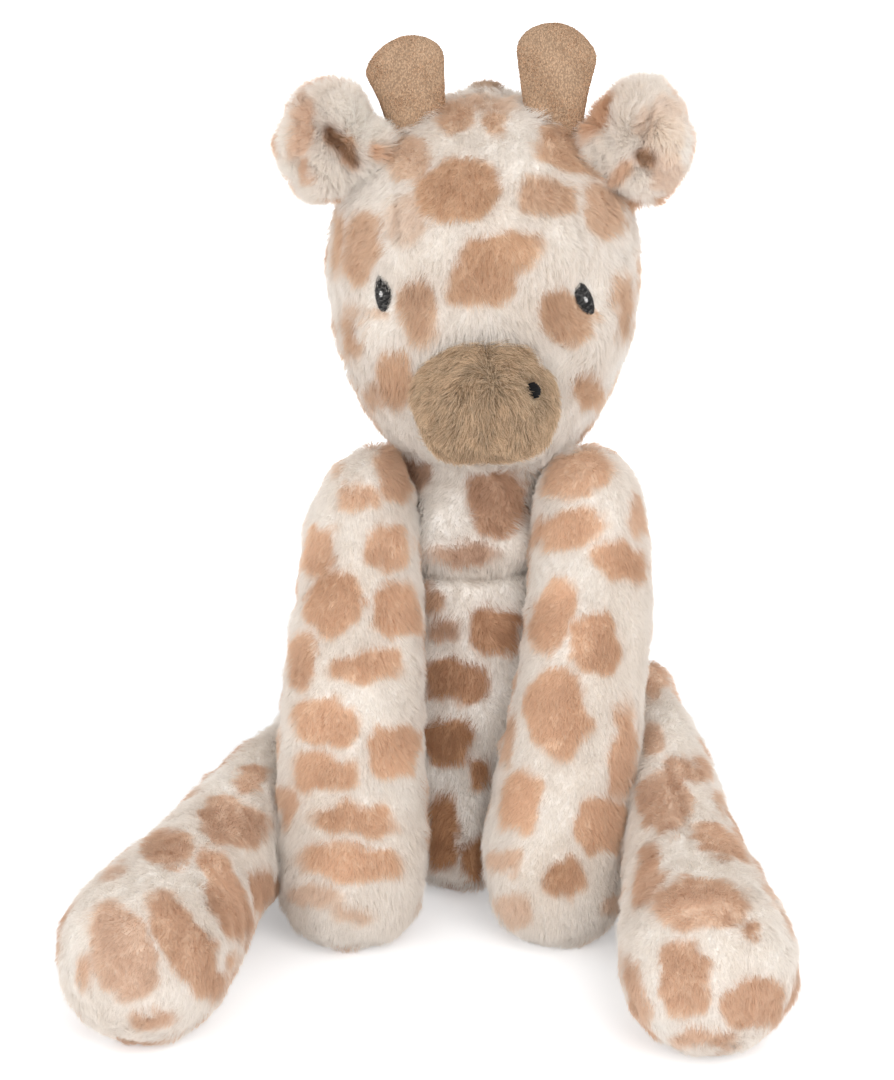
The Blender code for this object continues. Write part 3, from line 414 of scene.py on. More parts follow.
def skin_from(name, nodes, voxel=SKIN_VOXEL, smooth=14, grow=0.0):
    """One closed skin over CAD nodes, with their facets smoothed away."""
    bm = bmesh.new()
    for node in nodes:
        bm.from_mesh(frame["nodes"][node].data)
    thing = link(bpy.data.objects.new(name, mesh_from(bm, name)))
    remesh = thing.modifiers.new("remesh", "REMESH")
    remesh.mode = "VOXEL"
    remesh.voxel_size = voxel
    bake_modifiers(thing)
    keep_outer_shell(thing.data)
    relax = thing.modifiers.new("relax", "SMOOTH")
    relax.factor = 0.5
    relax.iterations = smooth
    bake_modifiers(thing)
    places, normals = mesh_arrays(thing.data)
    set_places(thing.data, places + normals * grow)
    thing.data.shade_smooth()
    return thing


def surface_tree(mesh):
    return BVHTree.FromPolygons([v.co for v in mesh.vertices], [p.vertices for p in mesh.polygons])


def press_clear(mesh, trees, gap=0.0008, deepest=0.016, highest=0.075):
    """Dent a skin where others press into it, below their roots."""
    for vert in mesh.vertices:
        for tree in trees if vert.co.z < highest else ():
            place, normal, _, _ = tree.find_nearest(vert.co, deepest)
            if place is not None:
                depth = (vert.co - place).dot(normal)
                if depth < gap:
                    vert.co = vert.co + normal * (gap - depth)
    mesh.update()


def fit_outline(places, rows):
    """Shift and widen a standing limb so that its outline with the pile falls on the photograph's."""
    x, y = to_pixels(places)
    levels = np.arange(rows[0][0], rows[-1][0] + 1, 5.0)
    low = np.array([x[np.abs(y - level) < 5].min() for level in levels])
    high = np.array([x[np.abs(y - level) < 5].max() for level in levels])
    table = np.array(rows, float)
    left = np.interp(levels, table[:, 0], table[:, 1]) + PILE_PIXELS
    right = np.interp(levels, table[:, 0], table[:, 2]) - PILE_PIXELS
    middle = np.interp(y, levels, (low + high) / 2)
    shift = np.interp(y, levels, (left + right) / 2 - (low + high) / 2)
    widen = np.interp(y, levels, (right - left) / (high - low))
    depth, _ = camera_depth(places)
    fitted = places.copy()
    fitted[:, 0] += (shift + (x - middle) * (widen - 1)) * depth / CAMERA_FOCAL_PIXELS
    return fitted


def crease_depth(places, normals, lines, half_width):
    """How deep the seams and creases that the photograph shows dent a skin, from 0 to 1."""
    depth = np.zeros(len(places))
    for line in lines:
        depth = np.maximum(depth, bump(pixel_line(places, line), half_width))
    return depth * smooth_step(0.05, 0.4, facing_camera(places, normals))


def paint(mesh, colours):
    layer = mesh.attributes.new("coat", "FLOAT_COLOR", "POINT")
    rgba = np.ones((len(colours), 4), np.float32)
    rgba[:, :3] = colours
    layer.data.foreach_set("color", rgba.ravel())


# Materials

HAIR_ROUGHNESS = 0.62
HAIR_SPECULAR = 0.25
HAIR_LET_THROUGH = 0.42
GRAIN_BUMP = 0.6


def set_inputs(node, values):
    for name, value in values.items():
        node.inputs[name].default_value = value


def new_material(name, roughness, specular):
    material = bpy.data.materials.new(name)
    material.use_nodes = True
    nodes = material.node_tree.nodes
    shader = nodes["Principled BSDF"]
    set_inputs(shader, {"Roughness": roughness, "Specular IOR Level": specular})
    return material, nodes, material.node_tree.links, shader


def hair_material(name):
    """Pile hairs: matt, and lit through a little."""
    material, nodes, links, shader = new_material(name, HAIR_ROUGHNESS, HAIR_SPECULAR)
    colour = nodes.new("ShaderNodeAttribute")
    colour.attribute_name = "coat"
    links.new(colour.outputs["Color"], shader.inputs["Base Color"])
    glow = nodes.new("ShaderNodeBsdfTranslucent")
    links.new(colour.outputs["Color"], glow.inputs["Color"])
    mix = nodes.new("ShaderNodeMixShader")
    mix.inputs[0].default_value = HAIR_LET_THROUGH
    links.new(shader.outputs[0], mix.inputs[1])
    links.new(glow.outputs[0], mix.inputs[2])
    links.new(mix.outputs[0], nodes["Material Output"].inputs["Surface"])
    return material


def grained_material(name, roughness, specular, scale, relief, speckle, stretch=(1, 1, 1), cells=False):
    """A surface coloured by its coat attribute, with a fine grain in its height and tone."""
    material, nodes, links, shader = new_material(name, roughness, specular)
    colour = nodes.new("ShaderNodeAttribute")
    colour.attribute_name = "coat"
    where = nodes.new("ShaderNodeTexCoord")
    spread = nodes.new("ShaderNodeMapping")
    spread.inputs["Scale"].default_value = stretch
    links.new(where.outputs["Object"], spread.inputs["Vector"])
    grain = nodes.new("ShaderNodeTexVoronoi" if cells else "ShaderNodeTexNoise")
    grain.inputs["Scale"].default_value = scale
    links.new(spread.outputs["Vector"], grain.inputs["Vector"])
    height = grain.outputs["Distance" if cells else "Fac"]
    tone = nodes.new("ShaderNodeMapRange")
    low, high = (1.0, 1.0 - speckle) if cells else (1.0 - speckle, 1.0)
    set_inputs(tone, {"From Min": 0.0 if cells else 0.3, "From Max": 0.7, "To Min": low, "To Max": high})
    links.new(height, tone.inputs["Value"])
    tinted = nodes.new("ShaderNodeVectorMath")
    tinted.operation = "SCALE"
    links.new(colour.outputs["Color"], tinted.inputs[0])
    links.new(tone.outputs["Result"], tinted.inputs["Scale"])
    links.new(tinted.outputs["Vector"], shader.inputs["Base Color"])
    lift = nodes.new("ShaderNodeBump")
    set_inputs(lift, {"Strength": GRAIN_BUMP, "Distance": relief})
    lift.invert = cells
    links.new(height, lift.inputs["Height"])
    links.new(lift.outputs["Normal"], shader.inputs["Normal"])
    return material


HAIR = hair_material("pile_hairs")
# Each cloth: roughness, specular, scale of the grain, its height and how much darker it gets.
PILE = grained_material("pile_cloth", 0.95, 0.1, 900, 0.0006, 0.15)
KNIT = grained_material("horn_knit_cloth", 0.92, 0.12, 2100, 0.0004, 0.50, (1.0, 1.0, 0.6), True)
THREAD = grained_material("embroidery_thread", 0.75, 0.15, 2000, 0.0001, 0.6)


# Pile

def sample_surface(mesh, count, seed, density=None):
    """Random points on a mesh with their smooth normals."""
    mesh.calc_loop_triangles()
    total = len(mesh.loop_triangles)
    corners = np.empty(total * 3, np.int32)
    mesh.loop_triangles.foreach_get("vertices", corners)
    corners = corners.reshape(-1, 3)
    places, normals = mesh_arrays(mesh)
    a, b, c = (places[corners[:, k]] for k in range(3))
    share = np.linalg.norm(np.cross(b - a, c - a), axis=1)
    if density is not None:
        share = share * density((a + b + c) / 3)
    rng = np.random.default_rng(seed)
    pick = rng.choice(total, count, p=share / share.sum())
    u, v = rng.random(count), rng.random(count)
    flip = u + v > 1
    u[flip], v[flip] = 1 - u[flip], 1 - v[flip]
    weights = np.stack([1 - u - v, u, v], axis=1)[:, :, None]
    corner = corners[pick]
    return (places[corner] * weights).sum(axis=1), unit((normals[corner] * weights).sum(axis=1)), rng


def wave(kind, seed, points):
    """One of the pile's waves at the points, at its strength."""
    shift, size, strength = kind
    return strength * Waves(seed + shift, size)(points)


def grow_pile(
    name, body, skin, count, flow, colours_of, seed, length=FUR_LENGTH, lean=0.95, radius=FUR_RADIUS,
    tuft=0.0024, pull=0.38, stray=0.18, swirl=0.30, density=None, lengths=None, root_shade=0.80,
):
    """Hairs that leave the skin, lean along the flow and gather into small tufts."""
    count = int(count * HAIR_SHARE)
    roots, normals, rng = sample_surface(skin.data, count, seed, density)
    shift, wave_size, ruffle = RUFFLE_WAVE
    way = flow(roots, normals) + waves3(seed + 50, SWIRL_SIZE)(roots) * swirl
    way = way + waves3(seed + shift, wave_size)(roots) * ruffle + rng.normal(size=roots.shape) * stray
    way = unit(way - normals * (way * normals).sum(axis=1, keepdims=True))
    size = length * rng.uniform(*LENGTH_SPREAD, count) * (1 + wave(LENGTH_WAVE, seed, roots))
    if lengths is not None:
        size = size * lengths(roots)
    slope = lean + wave(SLOPE_WAVE, seed, roots) + rng.normal(size=count) * SLOPE_SCATTER
    slope = np.clip(slope, *SLOPE_LIMITS)[:, None]

    cells = np.floor(roots / tuft).astype(int)
    jitter = np.random.default_rng(seed + 90).uniform(0.2, 0.8, (TUFT_PLACES, 3))
    gather = (cells + jitter[cell_key(cells, TUFT_PLACES)]) * tuft - roots
    gather -= normals * (gather * normals).sum(axis=1, keepdims=True)
    gather *= np.minimum(size / FUR_LENGTH, 1.0)[:, None]

    along = np.linspace(0, 1, FUR_POINTS)
    points = np.empty((count, FUR_POINTS, 3))
    points[:, 0] = roots - normals * ROOT_DEPTH
    for k in range(1, FUR_POINTS):
        bend = slope * (BEND_AT_ROOT + BEND_ALONG * along[k])
        heading = normals * np.cos(bend) + way * np.sin(bend)
        points[:, k] = points[:, k - 1] + heading * (size / (FUR_POINTS - 1))[:, None]
    points += gather[:, None, :] * (pull * along[None, :, None] ** 1.5)
    points[:, :, 2] = np.maximum(points[:, :, 2], FLOOR_CLEARANCE)

    curves = bpy.data.hair_curves.new(name)
    curves.add_curves([FUR_POINTS] * count)
    curves.attributes["position"].data.foreach_set("vector", points.astype(np.float32).ravel())
    wide = curves.attributes.new("radius", "FLOAT", "POINT")
    thick = rng.uniform(*THICKNESS_SPREAD, (count, 1)) * np.array(FUR_TAPER) * radius
    wide.data.foreach_set("value", thick.astype(np.float32).ravel())
    shade = root_shade + (TIP_SHADE - root_shade) * along[None, :, None]
    rgba = np.ones((count, FUR_POINTS, 4), np.float32)
    rgba[:, :, :3] = np.clip(colours_of(points[:, -2], normals, rng)[:, None, :] * shade, 0, 0.98)
    layer = curves.attributes.new("coat", "FLOAT_COLOR", "POINT")
    layer.data.foreach_set("color", rgba.ravel())
    curves.materials.append(HAIR)
    hairs = link(bpy.data.objects.new(name, curves))
    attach(hairs, body)
    return hairs


def coat_colours(patches, tan, seed, shown=None):
    """Each hair takes the pattern's colour where its tip lies, so that the patches have clear edges."""
    def colours_of(tips, normals, rng):
        return coat(tips, normals, patches, tan, seed, shown) * rng.uniform(*TONE_SPREAD, (len(tips), 1))
    return colours_of


def mixed_colours(light, dark, even=1.0):
    """Each hair takes its own tone between two colours. A low even keeps most hairs light."""
    def colours_of(tips, normals, rng):
        share = rng.random((len(tips), 1)) ** even
        return np.array(dark) + (np.array(light) - np.array(dark)) * share
    return colours_of


def dress(skin, body, nodes, colours, material=None):
    """Colour a skin, and let it stand for its CAD nodes."""
    paint(skin.data, colours)
    skin.data.materials.clear()
    skin.data.materials.append(material or PILE)
    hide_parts(*nodes)
    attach(skin, body)


def box_middle(node):
    low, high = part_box(node)
    return (np.array(low) + np.array(high)) / 2


JOINTS = {joint["name"]: np.array(joint["pos_m"]) for joint in frame["joints"]}
HEAD_MIDDLE = box_middle("head_skin")
MUZZLE_MIDDLE = box_middle("muzzle_skin")
EYES = [box_middle("left_eye"), box_middle("right_eye")]
NOSTRIL_SHIFT = (0.0012, 0.0, 0.0010)
SHOWN_NOSTRIL = box_middle("left_nostril") + NOSTRIL_SHIFT
DOWN = np.array([0.0, 0.0, -1.0])


def furry_part(
    name, body, nodes, patches, tan, seed, count, flow, shown=None, shape=None, pressed_by=(), **pile,
):
    """A skin over the nodes, its shape, its pattern and its pile."""
    skin = skin_from(name, nodes)
    if shape is not None:
        places, normals = mesh_arrays(skin.data)
        set_places(skin.data, shape(places, normals))
    if pressed_by:
        press_clear(skin.data, pressed_by)
    places, normals = mesh_arrays(skin.data)
    dress(skin, body, nodes, coat(places, normals, patches, tan, seed, shown))
    grow_pile(name + "_pile", body, skin, count, flow, coat_colours(patches, tan, seed, shown), seed, **pile)
    return skin


def away_from(point, sink):
    """Pile that is combed away from a place, and down."""
    def flow(roots, normals):
        return unit(roots - point) + DOWN * sink
    return flow


def steady_flow(way):
    def flow(roots, normals):
        return np.tile(np.array(way, float), (len(roots), 1))
    return flow


down_flow = steady_flow(DOWN)


# Torso

CHEST_CREASE_HEIGHT = 0.1082
LAP_SIDE = -0.0064
LAP_HALF_WIDTH = 0.0190
LAP_LEVEL_SHARE = 0.35
# Each row: height, then how many times further forward the lap reaches there between the arms.
LAP_SHARES = [
    (0.0, 2.6), (0.004, 2.08), (0.012, 1.68), (0.020, 1.43), (0.028, 1.27), (0.044, 1.06), (0.054, 1.0),
]
# Each row: height over the chest's crease, half height of the fold, and how far out it moves the cloth.
CHEST_FOLDS = [(0.0, 0.0026, -0.0040), (0.0085, 0.0065, 0.0026), (-0.012, 0.008, 0.0005)]
TORSO_SHOWN = (408, 536)


def shape_torso(places, normals):
    """The chest hangs over a crease, the belly swells below it, and the lap swells between the arms."""
    front = smooth_step(0.0, 0.7, -normals[:, 1])
    rise = places[:, 2] - CHEST_CREASE_HEIGHT
    move = sum(out * bump(rise - height, half) for height, half, out in CHEST_FOLDS)
    shaped = places + normals * (move * front)[:, None]
    table = np.array(LAP_SHARES)
    between = smooth_step(LAP_HALF_WIDTH, LAP_HALF_WIDTH * LAP_LEVEL_SHARE, np.abs(shaped[:, 0] - LAP_SIDE))
    further = np.interp(shaped[:, 2], table[:, 0], table[:, 1]) - 1
    shaped[:, 1] += np.minimum(shaped[:, 1], 0) * further * between
    return shaped


def build_torso(pressed_by):
    nodes = ["torso_skin", "torso_stuffing", "seat_pellet_pouch"]
    return furry_part(
        "torso_fur", "torso", nodes, TORSO_PATCHES_AND_SHADE, TORSO_TAN_AND_SHADE, 101, HAIRS["torso"], down_flow, TORSO_SHOWN,
        shape_torso, pressed_by,
    )


# Arms

SHOULDER_RAISE = 0.0050
SHOULDER_BELOW, SHOULDER_ABOVE = 0.012, 0.014
ARM_PARTING = (0, 0.01, 0.03)
ARM_SINK = 0.9
LIMB_PILE = {
    "length": 0.0040, "lean": 1.00, "stray": 0.19, "swirl": 0.16, "tuft": 0.0018, "pull": 0.28,
    "root_shade": 0.90,
}


def build_arm(label, patches, outline, seed):
    root = JOINTS[label + "_shoulder_lift"]
    nodes = [label + "_arm_skin", label + "_arm_stuffing", label + "_paw_pellet_pouch"]

    def shape(places, normals):
        raised = places.copy()
        low, high = root[2] - SHOULDER_BELOW, root[2] + SHOULDER_ABOVE
        raised[:, 2] += SHOULDER_RAISE * smooth_step(low, high, places[:, 2])
        return fit_outline(raised, outline)

    flow = away_from(root + ARM_PARTING, ARM_SINK)
    return furry_part(
        label + "_arm_fur", label + "_arm", nodes, patches, LIMB_TAN, seed, HAIRS["arm"], flow, None, shape,
        **LIMB_PILE,
    )


# Legs

# Lengths along the leg are from the hip, and lengths across it are from its middle.
HIP_TAPER = 0.16
HIP_START, HIP_END = -0.004, 0.034
THIGH_START, THIGH_END = 0.055, 0.112
THIGH_SIDE = 0.02
FOOT_START, FOOT_END = 0.03, 0.12
LEG_CREASE = 0.0013
LEG_CREASE_PIXELS = 5.0
LEG_CLEARANCE = 0.0002
LEG_PARTING = (0, 0.02, 0.03)
LEG_SINK = 0.5
# Each row: side, patches, creases, seed, x pixels that show it, the foot's move and the thigh's slimming.
LEGS = [
    ("right", RIGHT_LEG_PATCHES, RIGHT_LEG_CREASES, 401, (0, 290), (0.0, 0.0036), 0.0008),
    ("left", LEFT_LEG_PATCHES, LEFT_LEG_CREASES, 501, (612, 900), (-0.0026, 0.0030), 0.0026),
]


def build_leg(label, patches, creases, seed, shown, foot_shift, thigh_slim, pressed_by):
    """A leg with a tapered hip end, a thigh slimmer on its outer side, and a foot moved a little."""
    root = JOINTS[label + "_hip_splay"]
    nodes = [label + "_leg_skin", label + "_leg_stuffing", label + "_foot_pellet_pouch"]
    flow = away_from(root + LEG_PARTING, LEG_SINK)
    way = unit(box_middle(label + "_foot_pellet_pouch")[:2] - root[:2])
    outer = np.array([-way[1], way[0]]) * np.sign(way[0])

    def shape(places, normals):
        dent = LEG_CREASE * crease_depth(places, normals, creases, LEG_CREASE_PIXELS)
        shaped = places - normals * dent[:, None]
        along = (shaped[:, :2] - root[:2]) @ way
        across = (shaped[:, :2] - root[:2]) @ outer
        slim = thigh_slim * smooth_step(THIGH_END, THIGH_START, along) * smooth_step(0.0, THIGH_SIDE, across)
        foot = smooth_step(FOOT_START, FOOT_END, along)[:, None]
        shaped[:, :2] += np.array(foot_shift) * foot - outer * slim[:, None]
        axis = np.column_stack([root[:2] + way * along[:, None], np.full(len(shaped), root[2])])
        shaped = axis + (shaped - axis) * (1 - HIP_TAPER * smooth_step(HIP_END, HIP_START, along))[:, None]
        shaped[:, 2] = np.maximum(shaped[:, 2], places[:, 2].min() + LEG_CLEARANCE)
        return shaped

    return furry_part(
        label + "_leg_fur", label + "_leg", nodes, patches, LEG_TAN, seed, HAIRS["leg"], flow, shown, shape,
        pressed_by, **LIMB_PILE,
    )


# Head

SOCKET_DEPTH = 0.0030
SOCKET_RADIUS = 0.0085
# Swellings beside each eye: place from the eye in mm, outwards, back and up, then height and radius.
EYE_SWELLS = [((2, 0, -16), 0.0022, 0.012), ((-4, 0, 14), 0.0016, 0.010)]
SEAM_DEPTH = 0.0016
SEAM_PIXELS = 4.0
CHEEK_WIDTH = 0.04
TO_MUZZLE, TO_CHEEKS = 0.45, 0.35
EYE_BARE = 0.0038
# Hairs are shorter near a spot: up to the first distance by the share, and past the second not at all.
NEAR_EYE = (0.004, 0.012, 0.40)
BROW_LONGER = 0.7


def shape_head(places, normals):
    """Soft sockets round the eyes, brows and cheeks that swell beside them, and two seams on the forehead."""
    move = np.zeros(len(places))
    for eye in EYES:
        side = np.sign(eye[0] - HEAD_MIDDLE[0])
        reach = np.linalg.norm(places - eye, axis=1)
        move -= SOCKET_DEPTH * bump(reach, SOCKET_RADIUS)
        for offset, height, width in EYE_SWELLS:
            swell = eye + np.array(offset) * (side, 1, 1) / 1000
            move += height * bump(np.linalg.norm(places - swell, axis=1), width)
    move -= SEAM_DEPTH * crease_depth(places, normals, FOREHEAD_SEAMS, SEAM_PIXELS)
    return places + normals * move[:, None]


def head_flow(roots, normals):
    """Down from the crown towards the muzzle, and outwards over the cheeks."""
    toward = unit(MUZZLE_MIDDLE - roots)
    side = np.zeros_like(roots)
    side[:, 0] = np.clip((roots[:, 0] - HEAD_MIDDLE[0]) / CHEEK_WIDTH, -1, 1)
    return DOWN + toward * TO_MUZZLE + side * TO_CHEEKS


def near_spots(spots, inner, outer, least):
    """Shorter hairs round small things that the pile would hide."""
    def lengths(roots):
        share = np.ones(len(roots))
        for spot in spots:
            reach = np.linalg.norm(roots - spot, axis=1)
            share = np.minimum(share, least + (1 - least) * smooth_step(inner, outer, reach))
        return share
    return lengths


def bare_spots(spots, radius):
    def density(places):
        share = np.ones(len(places))
        for spot in spots:
            share *= np.linalg.norm(places - spot, axis=1) > radius
        return share
    return density


def head_lengths(roots):
    """Short pile round the eyes, and long over the top of the muzzle."""
    brow = bump(pixel_reach(roots, MUZZLE_TOP_SPOT), 1.0)
    return near_spots(EYES, *NEAR_EYE)(roots) * (1 + BROW_LONGER * brow)


def build_head():
    nodes = ["head_skin", "head_stuffing"]
    return furry_part(
        "head_fur", "head", nodes, HEAD_PATCHES, HEAD_TAN, 601, HAIRS["head"], head_flow, None, shape_head,
        density=bare_spots(EYES, EYE_BARE), lengths=head_lengths, root_shade=0.88,
    )


# Muzzle

MUZZLE_HALF_WIDTH = 0.0208
MUZZLE_HALF_HEIGHT = 0.0180
MUZZLE_TOP_SHARE = 0.83
MUZZLE_SQUARENESS = 2.7
MUZZLE_ROUNDNESS = 2.1
MUZZLE_RISE = 0.0020
MUZZLE_LEVEL = 0.012
MUZZLE_NARROW_FROM = -0.006
MUZZLE_SPREAD, MUZZLE_SPREAD_LOW = 0.35, 0.55
STRAND_EVEN = 0.55
NOSTRIL_SHADE, NOSTRIL_SHADE_RADIUS = 0.55, 0.0045
NOSTRIL_SKIN_SHADE, NOSTRIL_SKIN_RADIUS = 0.5, 0.0055
NOSTRIL_BARE = 0.0036
NEAR_NOSTRIL = (0.0035, 0.010, 0.16)
TOP_EDGE_PIXELS, TOP_EDGE_SCATTER = 4, 3.5


def muzzle_flow(roots, normals):
    """Down over the front, and outwards towards the sides."""
    spread = (roots - MUZZLE_MIDDLE) * (1, 0, 1) / MUZZLE_HALF_WIDTH
    low = smooth_step(MUZZLE_MIDDLE[2] + MUZZLE_LEVEL, MUZZLE_MIDDLE[2] - MUZZLE_LEVEL, roots[:, 2])
    return DOWN + spread * (MUZZLE_SPREAD + MUZZLE_SPREAD_LOW * low)[:, None]


def shape_muzzle(places):
    """Seen from the front, the fur makes a blob with fuller lower corners than an oval."""
    across = np.abs(places[:, 0] - MUZZLE_MIDDLE[0]) / MUZZLE_HALF_WIDTH
    up = np.abs(places[:, 2] - MUZZLE_MIDDLE[2]) / MUZZLE_HALF_HEIGHT
    size = np.maximum(np.hypot(across, up), 1e-6)
    across, up = across / size, up / size
    fuller = (across**MUZZLE_ROUNDNESS + up**MUZZLE_ROUNDNESS) ** (1 / MUZZLE_ROUNDNESS)
    fuller = fuller / (across**MUZZLE_SQUARENESS + up**MUZZLE_SQUARENESS) ** (1 / MUZZLE_SQUARENESS)
    start = MUZZLE_MIDDLE[2] + MUZZLE_NARROW_FROM
    high = smooth_step(start, MUZZLE_MIDDLE[2] + MUZZLE_HALF_HEIGHT, places[:, 2])
    grown = (places - MUZZLE_MIDDLE) * (1, 0, 1) * ((fuller - 1) * (1 - high))[:, None]
    narrowed = (places - MUZZLE_MIDDLE) * (1, 0, 0) * ((MUZZLE_TOP_SHARE - 1) * high)[:, None]
    return places + grown + narrowed + (0, 0, MUZZLE_RISE)


def muzzle_colours(tips, normals, rng):
    """Taupe strands of many tones, with the head's cream over the top edge."""
    strand = mixed_colours(TAUPE, TAUPE_DARK, STRAND_EVEN)(tips, normals, rng)
    near = bump(np.linalg.norm(tips - SHOWN_NOSTRIL, axis=1), NOSTRIL_SHADE_RADIUS)
    strand = strand * (1 - NOSTRIL_SHADE * near)[:, None]
    _, y = to_pixels(tips)
    y = y + rng.normal(size=len(tips)) * TOP_EDGE_SCATTER
    cream = smooth_step(MUZZLE_TOP_EDGE + TOP_EDGE_PIXELS, MUZZLE_TOP_EDGE - TOP_EDGE_PIXELS, y)[:, None]
    return strand * (1 - cream) + np.array(CREAM) * cream


def build_muzzle():
    nodes = ["muzzle_skin", "muzzle_stuffing"]
    skin = skin_from("muzzle_fur", nodes)
    places, _ = mesh_arrays(skin.data)
    places = shape_muzzle(places)
    set_places(skin.data, places)
    tone = 0.5 + 0.15 * (0.5 + 0.5 * Waves(71, 0.006)(places)[:, None])
    light, dark = np.array(TAUPE), np.array(TAUPE_DARK)
    near = bump(np.linalg.norm(places - SHOWN_NOSTRIL, axis=1), NOSTRIL_SKIN_RADIUS)[:, None]
    colours = dark + (light - dark) * tone * (1 - near) - dark * NOSTRIL_SKIN_SHADE * near
    dress(skin, "head", nodes, colours)
    grow_pile(
        "muzzle_fur_pile", "head", skin, HAIRS["muzzle"], muzzle_flow, muzzle_colours, 701, length=0.0056,
        lean=1.20, radius=0.000062, tuft=0.0015, pull=0.55, stray=0.22, swirl=0.30, root_shade=0.42,
        density=bare_spots([SHOWN_NOSTRIL], NOSTRIL_BARE), lengths=near_spots([SHOWN_NOSTRIL], *NEAR_NOSTRIL),
    )
    return skin


# Ears

EAR_POCKET = 0.0075
EAR_CREASE = 0.0045
EAR_CREASE_PIXELS = 3.5
EAR_BACK_SWELL = 0.0015
EAR_LOBE_REACH = 0.8
EAR_FACING = (0.1, 0.7)
EAR_SEAM_FADE = (0.002, 0.011)
EAR_CENTRE = 0.010
EAR_SINK = 0.15
# How far and how strongly the painted shade spreads over the ear's pocket.
POCKET_SHADE_REACH = 1.15
POCKET_SHADE_STRENGTH = 0.9


def build_ear(label, sign, patches, form, seed):
    """A disc folded forwards at its seam: a fat upper lobe, a thinner lower rim and a pocket between them."""
    root = JOINTS[label + "_ear_flop"]
    along = unit(box_middle(label + "_ear") - root)
    up = unit(np.array([0, 0, 1.0]) - along * along[2])
    front = np.cross(along, up) * sign
    nodes = [label + "_ear"]
    skin = skin_from(label + "_ear_fur", nodes, voxel=0.0009, smooth=8)
    places, normals = mesh_arrays(skin.data)
    facing = normals @ front
    front_side = smooth_step(*EAR_FACING, facing)
    swell = -EAR_POCKET * bump(pixel_line(places, form["pocket"]), form["pocket_half_width"])
    swell = swell - EAR_CREASE * bump(pixel_line(places, form["crease"]), EAR_CREASE_PIXELS)
    for spot, height in form["lobes"]:
        swell = swell + height * bump(pixel_reach(places, spot), EAR_LOBE_REACH)
    swell = swell * front_side * smooth_step(*EAR_SEAM_FADE, (places - root) @ along)
    back = smooth_step(*EAR_FACING, -facing) * EAR_BACK_SWELL
    places = places + front * swell[:, None] - front * back[:, None]
    set_places(skin.data, places)
    places, normals = mesh_arrays(skin.data)
    dress(skin, label + "_ear", nodes, coat(places, normals, patches, EAR_TAN, seed))
    flow = away_from(root + along * EAR_CENTRE, EAR_SINK)

    def colours_of(tips, normals, rng):
        colours = coat_colours(patches, EAR_TAN, seed)(tips, normals, rng)
        # Painted shade: the hairs over the pocket darken towards its brown, more where they face forwards.
        deep = bump(pixel_line(tips, form["pocket"]), form["pocket_half_width"] * POCKET_SHADE_REACH)
        deep = deep * smooth_step(-0.1, 0.5, normals @ front)
        return colours + (np.array(POCKET_SHADE) - colours) * (POCKET_SHADE_STRENGTH * deep)[:, None]

    grow_pile(
        label + "_ear_fur_pile", label + "_ear", skin, HAIRS["ear"], flow, colours_of, seed,
        length=0.0062, lean=0.70, tuft=0.0022, pull=0.42, stray=0.38, swirl=0.40, root_shade=1.0,
    )


# Horns

HORN_SLANT = 0.0030
HORN_HALF_WIDTH = 0.012
HORN_SLANT_FROM = 0.008
HORN_TONE, HORN_TONE_WAVE, HORN_TONE_SIZE = 0.5, 0.10, 0.008


def build_horn(label, sign, seed):
    nodes = [label + "_horn_skin", label + "_horn_stuffing"]
    skin = skin_from(label + "_horn_knit", nodes, voxel=0.0006, smooth=10, grow=0.0002)
    places, _ = mesh_arrays(skin.data)
    low, high = (np.array(corner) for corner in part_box(label + "_horn_skin"))
    outward = np.clip((places[:, 0] - (low[0] + high[0]) / 2) * sign / HORN_HALF_WIDTH, 0, 1)
    places[:, 2] -= HORN_SLANT * outward**1.5 * smooth_step(low[2] + HORN_SLANT_FROM, high[2], places[:, 2])
    set_places(skin.data, places)
    tone = HORN_TONE + HORN_TONE_WAVE * Waves(seed, HORN_TONE_SIZE)(places)[:, None]
    light, dark = np.array(HORN_TAN), np.array(HORN_DARK)
    dress(skin, "head", nodes, dark + (light - dark) * (0.45 + 0.4 * tone), KNIT)
    grow_pile(
        label + "_horn_nap", "head", skin, HAIRS["horn"], down_flow, mixed_colours(HORN_TAN, HORN_DARK, 0.6),
        seed, length=0.00060, lean=0.5, radius=0.00015, tuft=0.0007, pull=0.1, stray=0.8, root_shade=0.60,
    )


# Embroidery

THREAD_LEAN_DEG = 12.0
THREAD_OVERLAP = 1.12
THREAD_STEPS, THREAD_SIDES = 9, 6
# Half width, half height, threads and how proud the middle stands.
EYE_STITCH = (0.0031, 0.0057, 22, 0.0012)
GLINT_STITCH = (0.0008, 0.0009, 3, 0.0019)
NOSTRIL_STITCH = (0.0032, 0.0025, 8)
NOSTRIL_TILT_DEG = 30
# Each row: side, tilt of the eye in degrees, its move from the CAD eye, and how proud the nostril stands.
FACE_SIDES = [("left", -16, (0, 0, -0.0014), 0.0024), ("right", 4, (-0.0014, 0, 0), 0.0006)]


def lay_on(tree, point, out):
    """Where a point lies on a skin, seen along a way."""
    place, _, _, _ = tree.ray_cast(Vector(point + out * 0.012), Vector(-out), 0.04)
    return np.array(place if place is not None else point)


